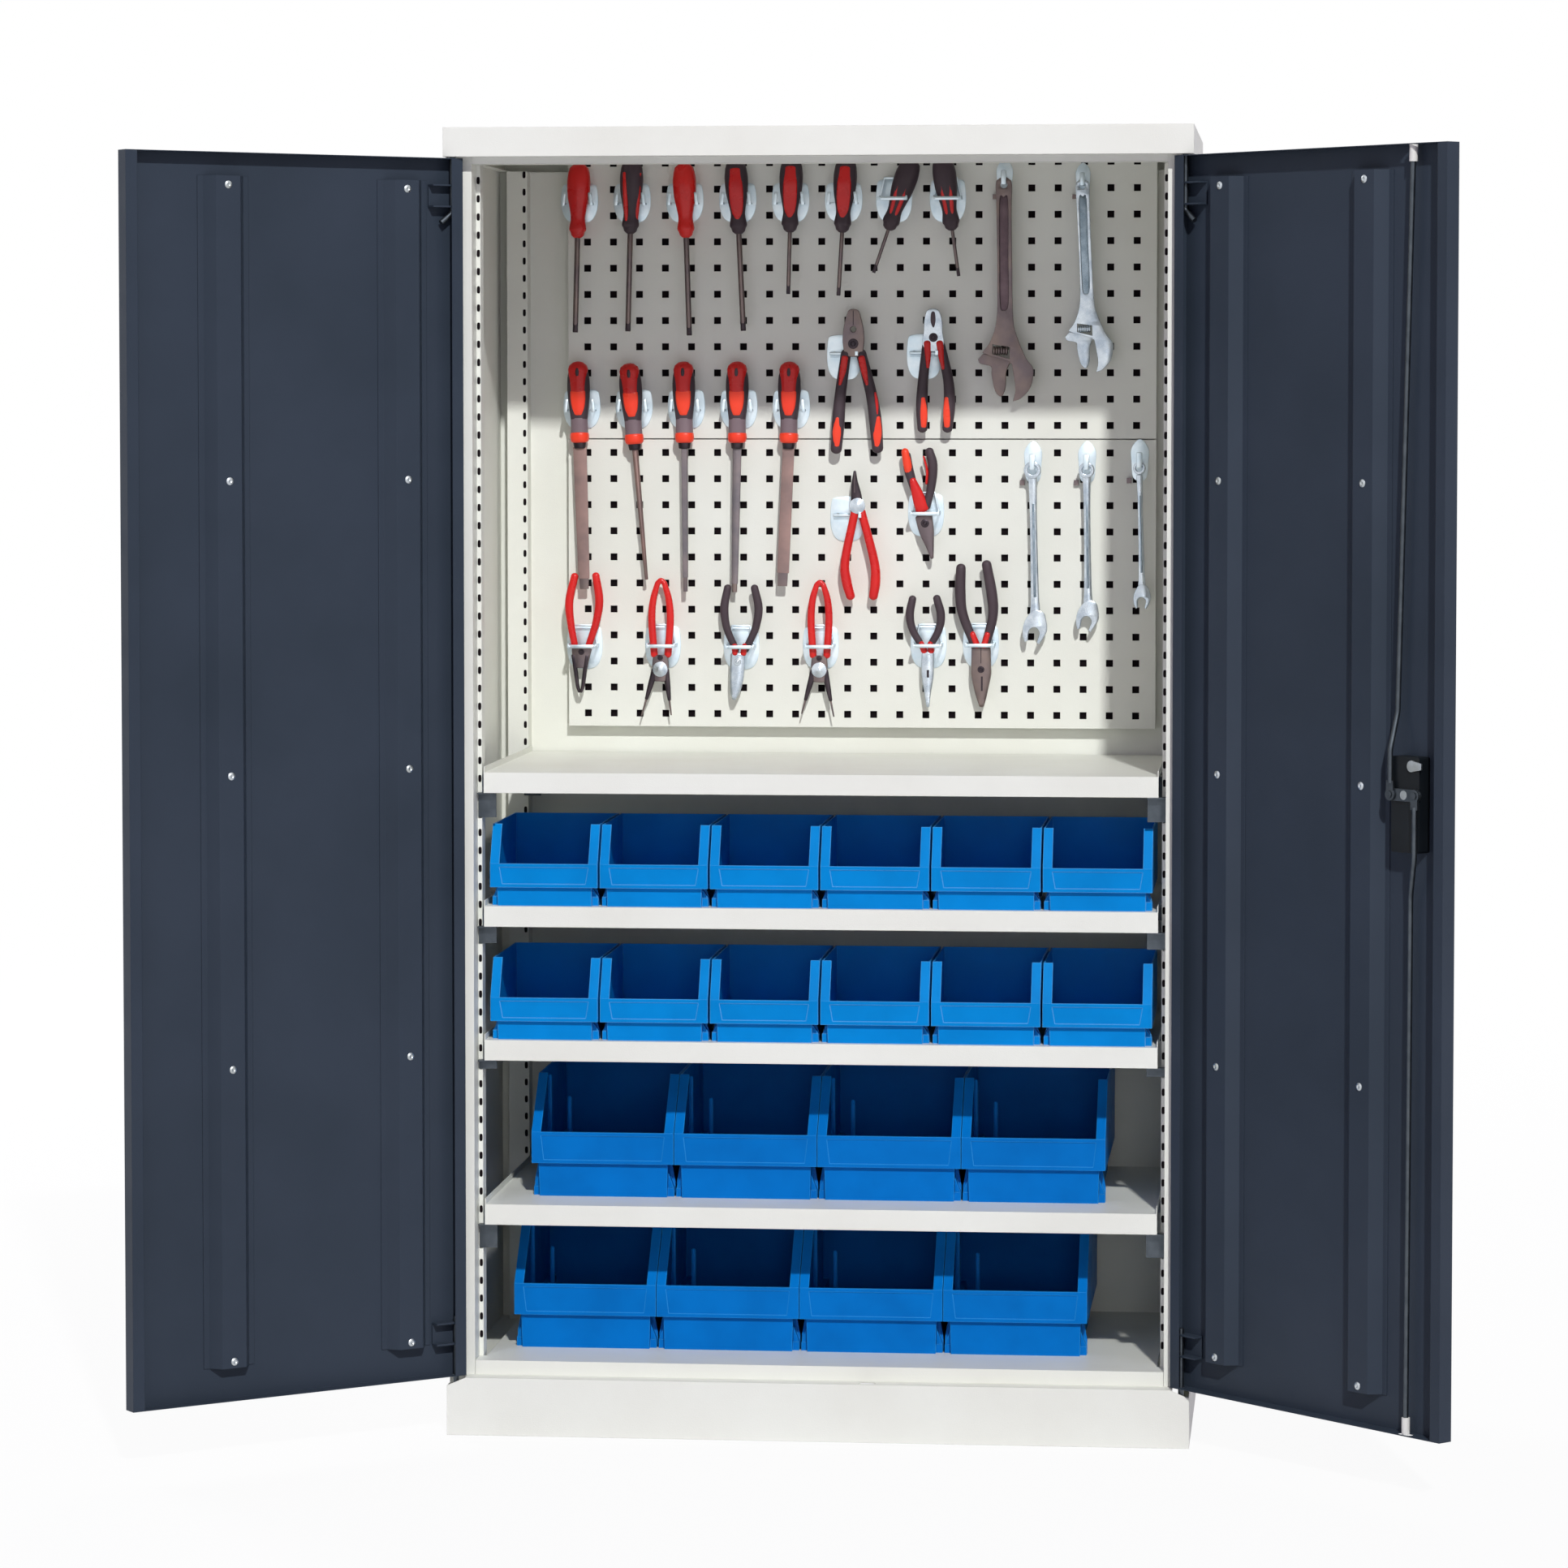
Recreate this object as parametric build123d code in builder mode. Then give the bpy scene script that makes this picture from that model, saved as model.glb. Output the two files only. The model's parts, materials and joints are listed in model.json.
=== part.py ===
"""A two-door steel tool cabinet with a perforated tool wall, four shelves and twenty storage bins.

Millimetres, +Z up. The origin is the middle of the cabinet's footprint on the floor. X runs to the
right, Y to the back and the doors are at the front. The doors stand open.
"""

import os
from math import cos, radians, sin

from build123d import *

# ---------------------------------------------------------------- driving dimensions
width, depth, height = 1023.0, 555.0, 1800.0
gauge = 1.2  # folded steel sheet
plate_gauge = 4.0  # hinge plates
clearance = 0.3  # between pieces that only lie next to each other
running_fit = 0.05  # radial, pins and spindles in their bores

cap_height = 40.0
plinth_height = 80.0
plinth_flange = 40.0
plinth_foot = 25.0  # inward flange that stands on the floor
plinth_corner = (26.0, 11.0)  # cut off the front plate beside the lower hinges
cap_side_flange = 15.0

door_thickness = 22.0
door_end_gap = 2.0
door_middle_gap = 2.0
door_lip = 17.0
frame_recess = 27.0  # front plane to the posts' face
door_side_gap = 1.5

post_face = 35.5
post_return = 39.0  # depth of the post's inner side before its slotted step
post_step = 6.0
post_tail = 26.0
post_back = 30.0
rear_post_flange = 30.0
rear_post_depth = 32.0
rear_post_inset = 45.5  # outer side to the rear post's inner face
side_rear_flange = 20.0

slot_pitch = 25.0
slot_size = (4.0, 10.0)
slot_first = 50.0  # above the plinth
slot_edge = 1.3  # slot to the flange's fold

back_recess = 43.0  # back panel's face to the cabinet's back plane
rail_drop = 9.0  # head rail below the cap
rail_flange = 35.0
floor_rise = 20.0

shelf_tops = (314.0, 543.0, 729.0, 914.5)
shelf_setback = 50.0  # from the front plane
shelf_edge_height = 28.5
shelf_front_return = 20.0
shelf_rear_return = 38.0
shelf_side_lip = 8.0
shelf_side_gap = 0.6
shelf_rear_gap = 5.0

clip_ledge = (23.0, 14.0, 2.0)
clip_tongue = (3.0, 6.0, 7.0)
clip_hang = 8.0  # least height from the slot's middle up to the ledge

hole_pitch = 38.0
hole_size = 10.0
board_margin = (28.5, 19.0)  # outer hole centres to the board's edge
board_fold = 15.0
board_stand_off = 7.0
board_side_room = 30.0
board_shift = 20.0
board_above_shelf = 38.5
board_gap = 1.6
board_top_gap = 7.8
board_rail_width = 30.0
board_rail_inset = 60.0

hinge_inset = (10.0, 11.0)  # pin axis from the door's edge and from its skin
left_opening, right_opening = 141.35, 134.5  # degrees from closed
pin_radius = 4.0
pin_reach = 4.0  # beyond the hinge plate
pin_hole_room = 2.0
hinge_ear_gauge = 2.5
hinge_ear_length = 42.0
hinge_ear_depth = 15.8
upper_ears = (38.0, 67.0)  # below the door's top
lower_ears = (43.0, 72.0)  # above the door's bottom
hook = (18.0, 14.0, 8.0)  # the upper pin's tail: run, drop and bend radius

stiffener_hinge_place = 74.0  # from the hinge axis
stiffener_lock_gap = 21.0  # second stiffener to the lock case
stiffener_top, stiffener_slope, stiffener_flange = 36.0, 12.0, 8.0
stiffener_height = 17.0
stiffener_end_gap = (44.0, 31.0)  # below and above

lock_place, lock_height = 430.0, 918.0  # handle axis from the hinge axis and from the floor
lock_case_size = (50.0, 125.0, 20.0)
lock_case_drop = 12.5
spindle_radius = 6.0
cam_arm = 22.0
cam_width, cam_gauge = 16.0, 3.0
cam_gap = 0.4
rivet_radius, rivet_head = 2.5, (4.5, 1.5)
eye_radius, eye_gauge = 8.0, 3.0
eye_neck = (12.0, 18.0)  # the rod's flattened end
rod_radius = 3.5
rod_depth = 13.0  # door's skin to the straight rod's axis
rod_lead, rod_bend = 8.0, 49.0  # past the lock case before the bend, and the bend's length
rod_lean = 3.0  # the lower rod's bent end from the line of the tips
rod_bend_radius = 24.0
rod_end_gap = 1.0  # drawn-back rod below the door's edge
rod_tip = (5.5, 22.0)
rod_slot = (24.0, 13.0)

rose_size = (50.0, 112.0, 4.0)
rose_lift = 10.0
boss = (14.0, 12.0)
grip = (70.0, 22.0, 16.0)
grip_chamfer = 3.0
key_place = (13.0, 38.0)  # towards the free edge and up from the handle's axis
key_radius, key_head = 7.5, (10.0, 2.0)
tongue_reach, tongue_end, tongue_gauge = 18.0, 4.0, 2.5

# bin sizes: width, depth, height, band bottom, band top, slope run, pitch
small_bin = (150.0, 235.0, 112.0, 26.0, 59.0, 29.0, 153.0)
large_bin = (200.0, 342.0, 165.0, 47.0, 91.0, 74.0, 201.0)
bin_wall = 2.0
bin_side_inset, bin_front_inset = 9.0, 7.0  # the lower body
bin_draft = 1.5  # degrees
bin_post = 13.0
bin_frame = 5.0
bin_label = (4.0, 5.0, 1.0)  # recess: end slope, margin above and below, depth
bin_foot = (8.0, 20.0, 12.0)
small_bin_setback = 4.0  # behind the shelf's front edge
large_bin_rear_room = 40.0
upper_large_shift, lower_large_shift = -10.0, -35.0

# ---------------------------------------------------------------- derived planes
side = width / 2
front = -depth / 2
back = depth / 2
frame_plane = front + frame_recess
cap_bottom = height - cap_height
post_inner = side - post_face
step_inner = post_inner - post_step
rear_inner = side - rear_post_inset
step_plane = frame_plane + post_return
panel_face = back - back_recess
rear_step_plane = panel_face - rear_post_depth
floor_top = plinth_height + floor_rise
shelf_half = rear_inner - shelf_side_gap
shelf_front = front + shelf_setback
shelf_back = panel_face - shelf_rear_gap

door_bottom = plinth_height + door_end_gap
door_top = cap_bottom - door_end_gap
door_height = door_top - door_bottom
hinge_x = side - door_side_gap - hinge_inset[0]
hinge_y = front + hinge_inset[1]
door_free = hinge_x - door_middle_gap / 2  # free edge from the hinge axis
skin_outer = -hinge_inset[1]
skin_inner = skin_outer + gauge
pan_inner = skin_outer + door_thickness

stiffener_base = stiffener_top / 2 + stiffener_slope
stiffener_half = stiffener_base + stiffener_flange
stiffener_lock_place = lock_place - lock_case_size[0] / 2 - stiffener_lock_gap - stiffener_half

left_angle = radians(-left_opening)
right_angle = radians(180 + right_opening)
left_hinge = Plane(
    origin=(-hinge_x, hinge_y, 0), x_dir=(cos(left_angle), sin(left_angle), 0), z_dir=(0, 0, 1)
)
right_hinge = Plane(
    origin=(hinge_x, hinge_y, 0), x_dir=(cos(right_angle), sin(right_angle), 0), z_dir=(0, 0, 1)
)
# each door: its hinge plane, and which way local Y points to the inside of the pan
doors = {"left": (left_hinge, 1), "right": (right_hinge, -1)}

os.makedirs("parts", exist_ok=True)


def save(builder, name):
    """Labels a finished piece and writes it."""
    builder.part.label = name
    export_step(builder.part, f"parts/{name}.step")


def folded(path, plane, gauge_side):
    """The section of a folded sheet whose outer face follows the path."""
    with BuildSketch(plane) as section:
        with BuildLine():
            Polyline(*path)
            offset(amount=gauge, side=gauge_side, kind=Kind.INTERSECTION)
        make_face()
    return section.sketch


def block(low, high, mode=Mode.ADD):
    """A plain block between two corners, in the builder that is open."""
    size = [b - a for a, b in zip(low, high)]
    middle = tuple((a + b) / 2 for a, b in zip(low, high))
    with Locations(middle):
        Box(*size, mode=mode)


# ---------------------------------------------------------------- side panels with front posts
slot_grid = [plinth_height + slot_first + slot_pitch * n for n in range(int(height // slot_pitch))]
ledge_tops = [top - shelf_edge_height for top in shelf_tops]
# the slots that hold a clip: the nearest ones below each shelf's ledges
clip_slots = [max(z for z in slot_grid if z <= ledge - clip_hang) for ledge in ledge_tops]
front_slot_x = step_inner + post_step / 2
rear_slot_x = rear_inner + gauge + slot_edge + slot_size[0] / 2

with BuildPart() as left_side:
    side_path = [
        (-side + side_rear_flange, back),
        (-side, back),
        (-side, frame_plane),
        (-post_inner, frame_plane),
        (-post_inner, step_plane),
        (-step_inner, step_plane),
        (-step_inner, step_plane + post_tail),
        (-step_inner - post_back, step_plane + post_tail),
    ]
    extrude(
        folded(side_path, Plane.XY.offset(plinth_height), Side.LEFT), amount=cap_bottom - plinth_height
    )
    with BuildSketch(Plane.XZ.offset(-step_plane + gauge)):
        with Locations([(-front_slot_x, z) for z in clip_slots]):
            Rectangle(*slot_size)
    extrude(amount=-3 * gauge, mode=Mode.SUBTRACT)
save(left_side, "left_side")

with BuildPart() as right_side:
    mirror(left_side.part, about=Plane.YZ)
save(right_side, "right_side")

# ---------------------------------------------------------------- rear posts
with BuildPart() as rear_posts:
    rear_path = [
        (-rear_inner - rear_post_flange, rear_step_plane),
        (-rear_inner, rear_step_plane),
        (-rear_inner, panel_face),
        (-rear_inner - rear_post_flange, panel_face),
    ]
    extrude(
        folded(rear_path, Plane.XY.offset(plinth_height), Side.LEFT), amount=cap_bottom - plinth_height
    )
    with BuildSketch(Plane.XZ.offset(-rear_step_plane + gauge)):
        with Locations([(-rear_slot_x, z) for z in clip_slots]):
            Rectangle(*slot_size)
    extrude(amount=-3 * gauge, mode=Mode.SUBTRACT)
    mirror(about=Plane.YZ)
save(rear_posts, "rear_posts")

# ---------------------------------------------------------------- back panel, a shallow tray
with BuildPart() as back_panel:
    panel_half = side - gauge
    panel_back = back - gauge
    block((-panel_half, panel_face, plinth_height), (panel_half, panel_back, cap_bottom))
    block(
        (-panel_half + gauge, panel_face + gauge, plinth_height + gauge),
        (panel_half - gauge, panel_back + gauge, cap_bottom - gauge),
        mode=Mode.SUBTRACT,
    )
save(back_panel, "back_panel")

# ---------------------------------------------------------------- top cap with its hinge and rod holes
rod_x = hinge_x - lock_place  # the rods' place when the right door is shut
rod_y = front + rod_depth
pin_clear = pin_radius + pin_hole_room
with BuildPart() as top_cap:
    block((-side, front, cap_bottom), (side, back, height))
    block(
        (-side + gauge, front + gauge, cap_bottom + gauge),
        (side - gauge, back - gauge, height - gauge),
        mode=Mode.SUBTRACT,
    )
    block(
        (-side + cap_side_flange, frame_plane, cap_bottom - gauge),
        (side - cap_side_flange, back - cap_side_flange, cap_bottom + 2 * gauge),
        mode=Mode.SUBTRACT,
    )
    with BuildSketch(Plane.XY.offset(cap_bottom)):
        with Locations((-hinge_x, hinge_y), (hinge_x, hinge_y)):
            Circle(pin_clear)
        with Locations((rod_x, rod_y)):
            SlotOverall(*rod_slot)
    extrude(amount=2 * gauge, mode=Mode.SUBTRACT)
save(top_cap, "top_cap")

with BuildPart() as head_rail:
    rail_path = [
        (frame_plane + rail_flange, cap_bottom - rail_drop),
        (frame_plane, cap_bottom - rail_drop),
        (frame_plane, height - 2 * rail_drop),
    ]
    extrude(folded(rail_path, Plane.YZ.offset(-post_inner), Side.RIGHT), amount=2 * post_inner)
save(head_rail, "head_rail")

# ---------------------------------------------------------------- plinth, an open frame on a foot flange
with BuildPart() as plinth:
    block((-side, front, 0), (side, back, plinth_height))
    block(
        (-side + gauge, front + gauge, gauge),
        (side - gauge, back - gauge, plinth_height - gauge),
        mode=Mode.SUBTRACT,
    )
    block(
        (-side + plinth_foot, front + plinth_foot, -gauge),
        (side - plinth_foot, back - plinth_foot, 2 * gauge),
        mode=Mode.SUBTRACT,
    )
    block(
        (-side + plinth_flange, front + plinth_flange, plinth_height - 2 * gauge),
        (side - plinth_flange, back - plinth_flange, plinth_height + gauge),
        mode=Mode.SUBTRACT,
    )
    with BuildSketch(Plane.XZ.offset(-front)):
        for way in (-1, 1):
            with BuildLine():
                Polyline(
                    (way * side, plinth_height),
                    (way * (side - plinth_corner[0]), plinth_height),
                    (way * side, plinth_height - plinth_corner[1]),
                    close=True,
                )
            make_face()
    extrude(amount=-frame_recess, mode=Mode.SUBTRACT)
    with BuildSketch(Plane.XY.offset(plinth_height)):
        with Locations((rod_x, rod_y)):
            SlotOverall(*rod_slot)
    extrude(amount=-2 * gauge, mode=Mode.SUBTRACT)
save(plinth, "plinth")

# ---------------------------------------------------------------- floor pan
with BuildPart() as floor_pan:
    with BuildSketch(Plane.XY.offset(plinth_height)) as pan_outline:
        with BuildLine():
            Polyline(
                (-post_inner + clearance, frame_plane),
                (post_inner - clearance, frame_plane),
                (post_inner - clearance, step_plane - clearance),
                (shelf_half, step_plane - clearance),
                (shelf_half, panel_face - clearance),
                (-shelf_half, panel_face - clearance),
                (-shelf_half, step_plane - clearance),
                (-post_inner + clearance, step_plane - clearance),
                close=True,
            )
        make_face()
    extrude(amount=floor_rise)
    offset(amount=-gauge, openings=floor_pan.faces().sort_by(Axis.Z)[0])
save(floor_pan, "floor_pan")

# ---------------------------------------------------------------- hinge plates in the cap and plinth
upper_plate_bottom = cap_bottom + gauge
lower_plate_top = plinth_height - plinth_corner[1] - gauge
hinge_plate_inner = hinge_x - 15.0
with BuildPart() as hinge_plates:
    for bottom in (upper_plate_bottom, lower_plate_top - plate_gauge):
        for way in (-1, 1):
            outer = side - gauge
            middle = (hinge_plate_inner + outer) / 2
            with BuildSketch(Plane.XY.offset(bottom)):
                with Locations((way * middle, (front + gauge + frame_plane) / 2)):
                    Rectangle(outer - hinge_plate_inner, frame_plane - front - gauge)
                with Locations((way * hinge_x, hinge_y)):
                    Circle(pin_radius + running_fit, mode=Mode.SUBTRACT)
            extrude(amount=plate_gauge)
save(hinge_plates, "hinge_plates")

# ---------------------------------------------------------------- shelves
for number, top in enumerate(shelf_tops, start=1):
    underside = top - shelf_edge_height
    with BuildPart() as shelf:
        shelf_path = [
            (shelf_front + shelf_front_return, underside),
            (shelf_front, underside),
            (shelf_front, top),
            (shelf_back, top),
            (shelf_back, underside),
            (shelf_back - shelf_rear_return, underside),
        ]
        extrude(folded(shelf_path, Plane.YZ.offset(-shelf_half), Side.RIGHT), amount=2 * shelf_half)
        for way in (-1, 1):
            block(
                (min(way * shelf_half, way * (shelf_half - gauge)), shelf_front + gauge, top - gauge),
                (max(way * shelf_half, way * (shelf_half - gauge)), shelf_back, top + shelf_side_lip),
            )
    save(shelf, f"shelf_{number}")

# ---------------------------------------------------------------- shelf clips, hooked in the posts' slots
columns = ((front_slot_x, step_plane), (rear_slot_x, rear_step_plane))
with BuildPart() as shelf_clips:
    for ledge_top, hooked in zip(ledge_tops, clip_slots):
        for slot_x, face in columns:
            for way in (-1, 1):
                near, far = slot_x - clip_ledge[0], slot_x + slot_size[0] / 2
                low_x, high_x = sorted((way * near, way * far))
                block(
                    (low_x, face - clip_ledge[1], ledge_top - clip_ledge[2]), (high_x, face, ledge_top)
                )
                block(
                    (low_x, face - clip_ledge[2], hooked - clip_tongue[2] / 2),
                    (high_x, face, ledge_top - clip_ledge[2]),
                )
                block(
                    (way * slot_x - clip_tongue[0] / 2, face, hooked - clip_tongue[2] / 2),
                    (way * slot_x + clip_tongue[0] / 2, face + clip_tongue[1], hooked + clip_tongue[2] / 2),
                )
save(shelf_clips, "shelf_clips")

# ---------------------------------------------------------------- perforated tool boards and their rails
board_bottom = shelf_tops[-1] + board_above_shelf
board_ceiling = height - gauge - board_top_gap
column_count = 1 + int((2 * (rear_inner - board_margin[0] - board_side_room)) // hole_pitch)
row_count = 1 + int(((board_ceiling - board_bottom - board_gap) / 2 - 2 * board_margin[1]) // hole_pitch)
board_width = (column_count - 1) * hole_pitch + 2 * board_margin[0]
board_height = (row_count - 1) * hole_pitch + 2 * board_margin[1]
board_back = panel_face - board_stand_off
board_front = board_back - board_fold
boards = {"lower_pegboard": board_bottom, "upper_pegboard": board_bottom + board_height + board_gap}
for name, bottom in boards.items():
    with BuildPart() as pegboard:
        block(
            (board_shift - board_width / 2, board_front, bottom),
            (board_shift + board_width / 2, board_back, bottom + board_height),
        )
        offset(amount=-gauge, openings=pegboard.faces().sort_by(Axis.Y)[-1])
        with BuildSketch(Plane.XZ.offset(-board_front)):
            with Locations((board_shift, bottom + board_height / 2)):
                with GridLocations(hole_pitch, hole_pitch, column_count, row_count):
                    Rectangle(hole_size, hole_size)
        extrude(amount=-2 * gauge, mode=Mode.SUBTRACT)
    save(pegboard, name)

with BuildPart() as pegboard_rails:
    rail_place = board_width / 2 - board_rail_inset
    rails_top = board_bottom + 2 * board_height + board_gap
    for rail_x in (board_shift - rail_place, board_shift, board_shift + rail_place):
        half = board_rail_width / 2
        board_rail_path = [
            (rail_x - half, panel_face),
            (rail_x - half, board_back),
            (rail_x + half, board_back),
            (rail_x + half, panel_face),
        ]
        extrude(
            folded(board_rail_path, Plane.XY.offset(board_bottom), Side.LEFT),
            amount=rails_top - board_bottom,
        )
save(pegboard_rails, "pegboard_rails")


# ---------------------------------------------------------------- doors
def on_door(hinge, inward, place, height_on_door):
    """A point of a door: place is along it and into it from the hinge axis."""
    return hinge.from_local_coords(Vector(place[0], inward * place[1], height_on_door))


def lock_plane(level):
    """A plane across the handle's axis: X to the door's free edge, Y up and Z into the cabinet."""
    hinge, inward = doors["right"]
    return Plane(
        origin=on_door(hinge, inward, (lock_place, level), lock_height),
        x_dir=hinge.x_dir,
        z_dir=inward * hinge.y_dir,
    )


for name, (hinge, inward) in doors.items():
    gauge_side = Side.LEFT if inward > 0 else Side.RIGHT
    skin_side = Side.RIGHT if inward > 0 else Side.LEFT

    with BuildPart() as door:
        pan_path = [
            (door_lip - hinge_inset[0], pan_inner),
            (-hinge_inset[0], pan_inner),
            (-hinge_inset[0], skin_outer),
            (door_free, skin_outer),
            (door_free, pan_inner),
            (door_free - door_lip, pan_inner),
        ]
        local_path = [(u, inward * v) for u, v in pan_path]
        extrude(folded(local_path, hinge.offset(door_bottom), gauge_side), amount=door_height)
        for level in (door_bottom, door_top - gauge):
            with BuildSketch(hinge.offset(level)):
                with Locations(((door_free - hinge_inset[0]) / 2, inward * (skin_outer + pan_inner) / 2)):
                    Rectangle(door_free + hinge_inset[0], door_thickness)
                with Locations((0, 0)):
                    Circle(pin_clear, mode=Mode.SUBTRACT)
                if name == "right":
                    with Locations((lock_place, inward * (skin_outer + rod_depth))):
                        SlotOverall(*rod_slot, mode=Mode.SUBTRACT)
            extrude(amount=gauge)
        if name == "right":
            with BuildSketch(lock_plane(skin_outer)):
                Circle(spindle_radius + pin_hole_room)
                with Locations(key_place):
                    Circle(key_radius + pin_hole_room)
            extrude(amount=gauge, mode=Mode.SUBTRACT)
    save(door, f"{name}_door")

    with BuildPart() as stiffeners:
        foot = skin_inner + gauge
        crest = skin_inner + stiffener_height
        for place in (stiffener_hinge_place, stiffener_lock_place):
            hat_path = [
                (place - stiffener_half, foot),
                (place - stiffener_base, foot),
                (place - stiffener_top / 2, crest),
                (place + stiffener_top / 2, crest),
                (place + stiffener_base, foot),
                (place + stiffener_half, foot),
            ]
            local_path = [(u, inward * v) for u, v in hat_path]
            extrude(
                folded(local_path, hinge.offset(door_bottom + stiffener_end_gap[0]), skin_side),
                amount=door_height - sum(stiffener_end_gap),
            )
    save(stiffeners, f"{name}_door_stiffeners")

    with BuildPart() as brackets:
        ear_levels = [door_top - drop for drop in upper_ears] + [door_bottom + rise for rise in lower_ears]
        heel = gauge - hinge_inset[0]
        for level in ear_levels:
            with BuildSketch(hinge.offset(level)):
                with Locations((heel + hinge_ear_length / 2, inward * (skin_inner + hinge_ear_depth / 2))):
                    Rectangle(hinge_ear_length, hinge_ear_depth)
                Circle(pin_radius + running_fit, mode=Mode.SUBTRACT)
            extrude(amount=hinge_ear_gauge)
        for low, high in (sorted(ear_levels[:2]), sorted(ear_levels[2:])):
            with BuildSketch(hinge.offset(low)):
                with Locations((heel + hinge_ear_length / 2, inward * (skin_inner + gauge))):
                    Rectangle(hinge_ear_length, 2 * gauge)
            extrude(amount=high - low + hinge_ear_gauge)
    save(brackets, f"{name}_hinge_brackets")

    with BuildPart() as pins:
        pin_top = upper_plate_bottom + plate_gauge + pin_reach
        pin_turn = door_top - upper_ears[1] - hook[1] / 2
        tail_plane = Plane(origin=hinge.origin, x_dir=hinge.x_dir, z_dir=-inward * hinge.y_dir)
        rise = 1 if tail_plane.y_dir.Z > 0 else -1
        with BuildLine(tail_plane) as pin_path:
            FilletPolyline(
                (0, rise * pin_top),
                (0, rise * pin_turn),
                (hook[0], rise * (pin_turn - hook[1])),
                radius=hook[2],
            )
        with BuildSketch(hinge.offset(pin_top)):
            Circle(pin_radius)
        sweep(path=pin_path.line)
        pin_foot = lower_plate_top - plate_gauge - pin_reach
        with BuildSketch(hinge.offset(pin_foot)):
            Circle(pin_radius)
        extrude(amount=door_bottom + lower_ears[1] + 4 * hinge_ear_gauge - pin_foot)
    save(pins, f"{name}_hinge_pins")

# ---------------------------------------------------------------- lock on the right door
hinge, inward = doors["right"]
case_face = skin_inner + lock_case_size[2]
cam_level = case_face + cam_gap
eye_level = cam_level + cam_gauge + cam_gap
rod_level = skin_outer + rod_depth
boss_level = skin_outer - rose_size[2] - clearance - boss[1]


with BuildPart() as lock_case:
    with BuildSketch(lock_plane(skin_inner)):
        with Locations((0, -lock_case_drop)):
            RectangleRounded(lock_case_size[0], lock_case_size[1], 4)
        Circle(spindle_radius + running_fit, mode=Mode.SUBTRACT)
        with Locations(key_place):
            Circle(key_radius + running_fit, mode=Mode.SUBTRACT)
    extrude(amount=lock_case_size[2])
save(lock_case, "lock_case")

with BuildPart() as lock_rose:
    with BuildSketch(lock_plane(skin_outer - rose_size[2])):
        with Locations((0, rose_lift)):
            RectangleRounded(rose_size[0], rose_size[1], 8)
        Circle(spindle_radius + running_fit, mode=Mode.SUBTRACT)
        with Locations(key_place):
            Circle(key_radius + running_fit, mode=Mode.SUBTRACT)
    extrude(amount=rose_size[2])
save(lock_rose, "lock_rose")

with BuildPart() as handle:
    with BuildSketch(lock_plane(boss_level - grip[2])):
        SlotOverall(grip[0], grip[1])
    extrude(amount=grip[2])
    out_of_door = Axis(lock_plane(0).origin, -lock_plane(0).z_dir)
    chamfer(handle.faces().sort_by(out_of_door)[-1].edges(), grip_chamfer)
    with BuildSketch(lock_plane(boss_level)):
        Circle(boss[0])
    extrude(amount=boss[1])
save(handle, "handle")

with BuildPart() as spindle:
    with BuildSketch(lock_plane(boss_level + boss[1])):
        Circle(spindle_radius)
    extrude(amount=cam_level + cam_gauge - boss_level - boss[1])
save(spindle, "spindle")

with BuildPart() as rod_cam:
    with BuildSketch(lock_plane(cam_level)):
        SlotCenterToCenter(2 * cam_arm, cam_width)
        Circle(spindle_radius + running_fit, mode=Mode.SUBTRACT)
    extrude(amount=cam_gauge)
    with BuildSketch(lock_plane(cam_level + cam_gauge)):
        with Locations((-cam_arm, 0), (cam_arm, 0)):
            Circle(rivet_radius)
    extrude(amount=2 * cam_gap + eye_gauge)
    with BuildSketch(lock_plane(eye_level + eye_gauge + cam_gap)):
        with Locations((-cam_arm, 0), (cam_arm, 0)):
            Circle(rivet_head[0])
    extrude(amount=rivet_head[1])
save(rod_cam, "rod_cam")

with BuildPart() as key_cylinder:
    with BuildSketch(lock_plane(skin_outer - rose_size[2] - cam_gap - key_head[1])):
        with Locations(key_place):
            Circle(key_head[0])
    extrude(amount=key_head[1])
    with BuildSketch(lock_plane(skin_outer - rose_size[2] - cam_gap)):
        with Locations(key_place):
            Circle(key_radius)
    extrude(amount=rose_size[2] + cam_gap + gauge + lock_case_size[2] + cam_gap)
save(key_cylinder, "key_cylinder")

with BuildPart() as key_tongue:
    with BuildSketch(lock_plane(cam_level)):
        with BuildLine():
            Polyline(
                (key_place[0], key_place[1] + key_radius),
                (key_place[0] + tongue_reach, key_place[1] + tongue_end),
                (key_place[0] + tongue_reach, key_place[1] - tongue_end),
                (key_place[0], key_place[1] - key_radius),
                close=True,
            )
        make_face()
        with Locations(key_place):
            Circle(key_radius)
    extrude(amount=tongue_gauge)
save(key_tongue, "key_tongue")

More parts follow.
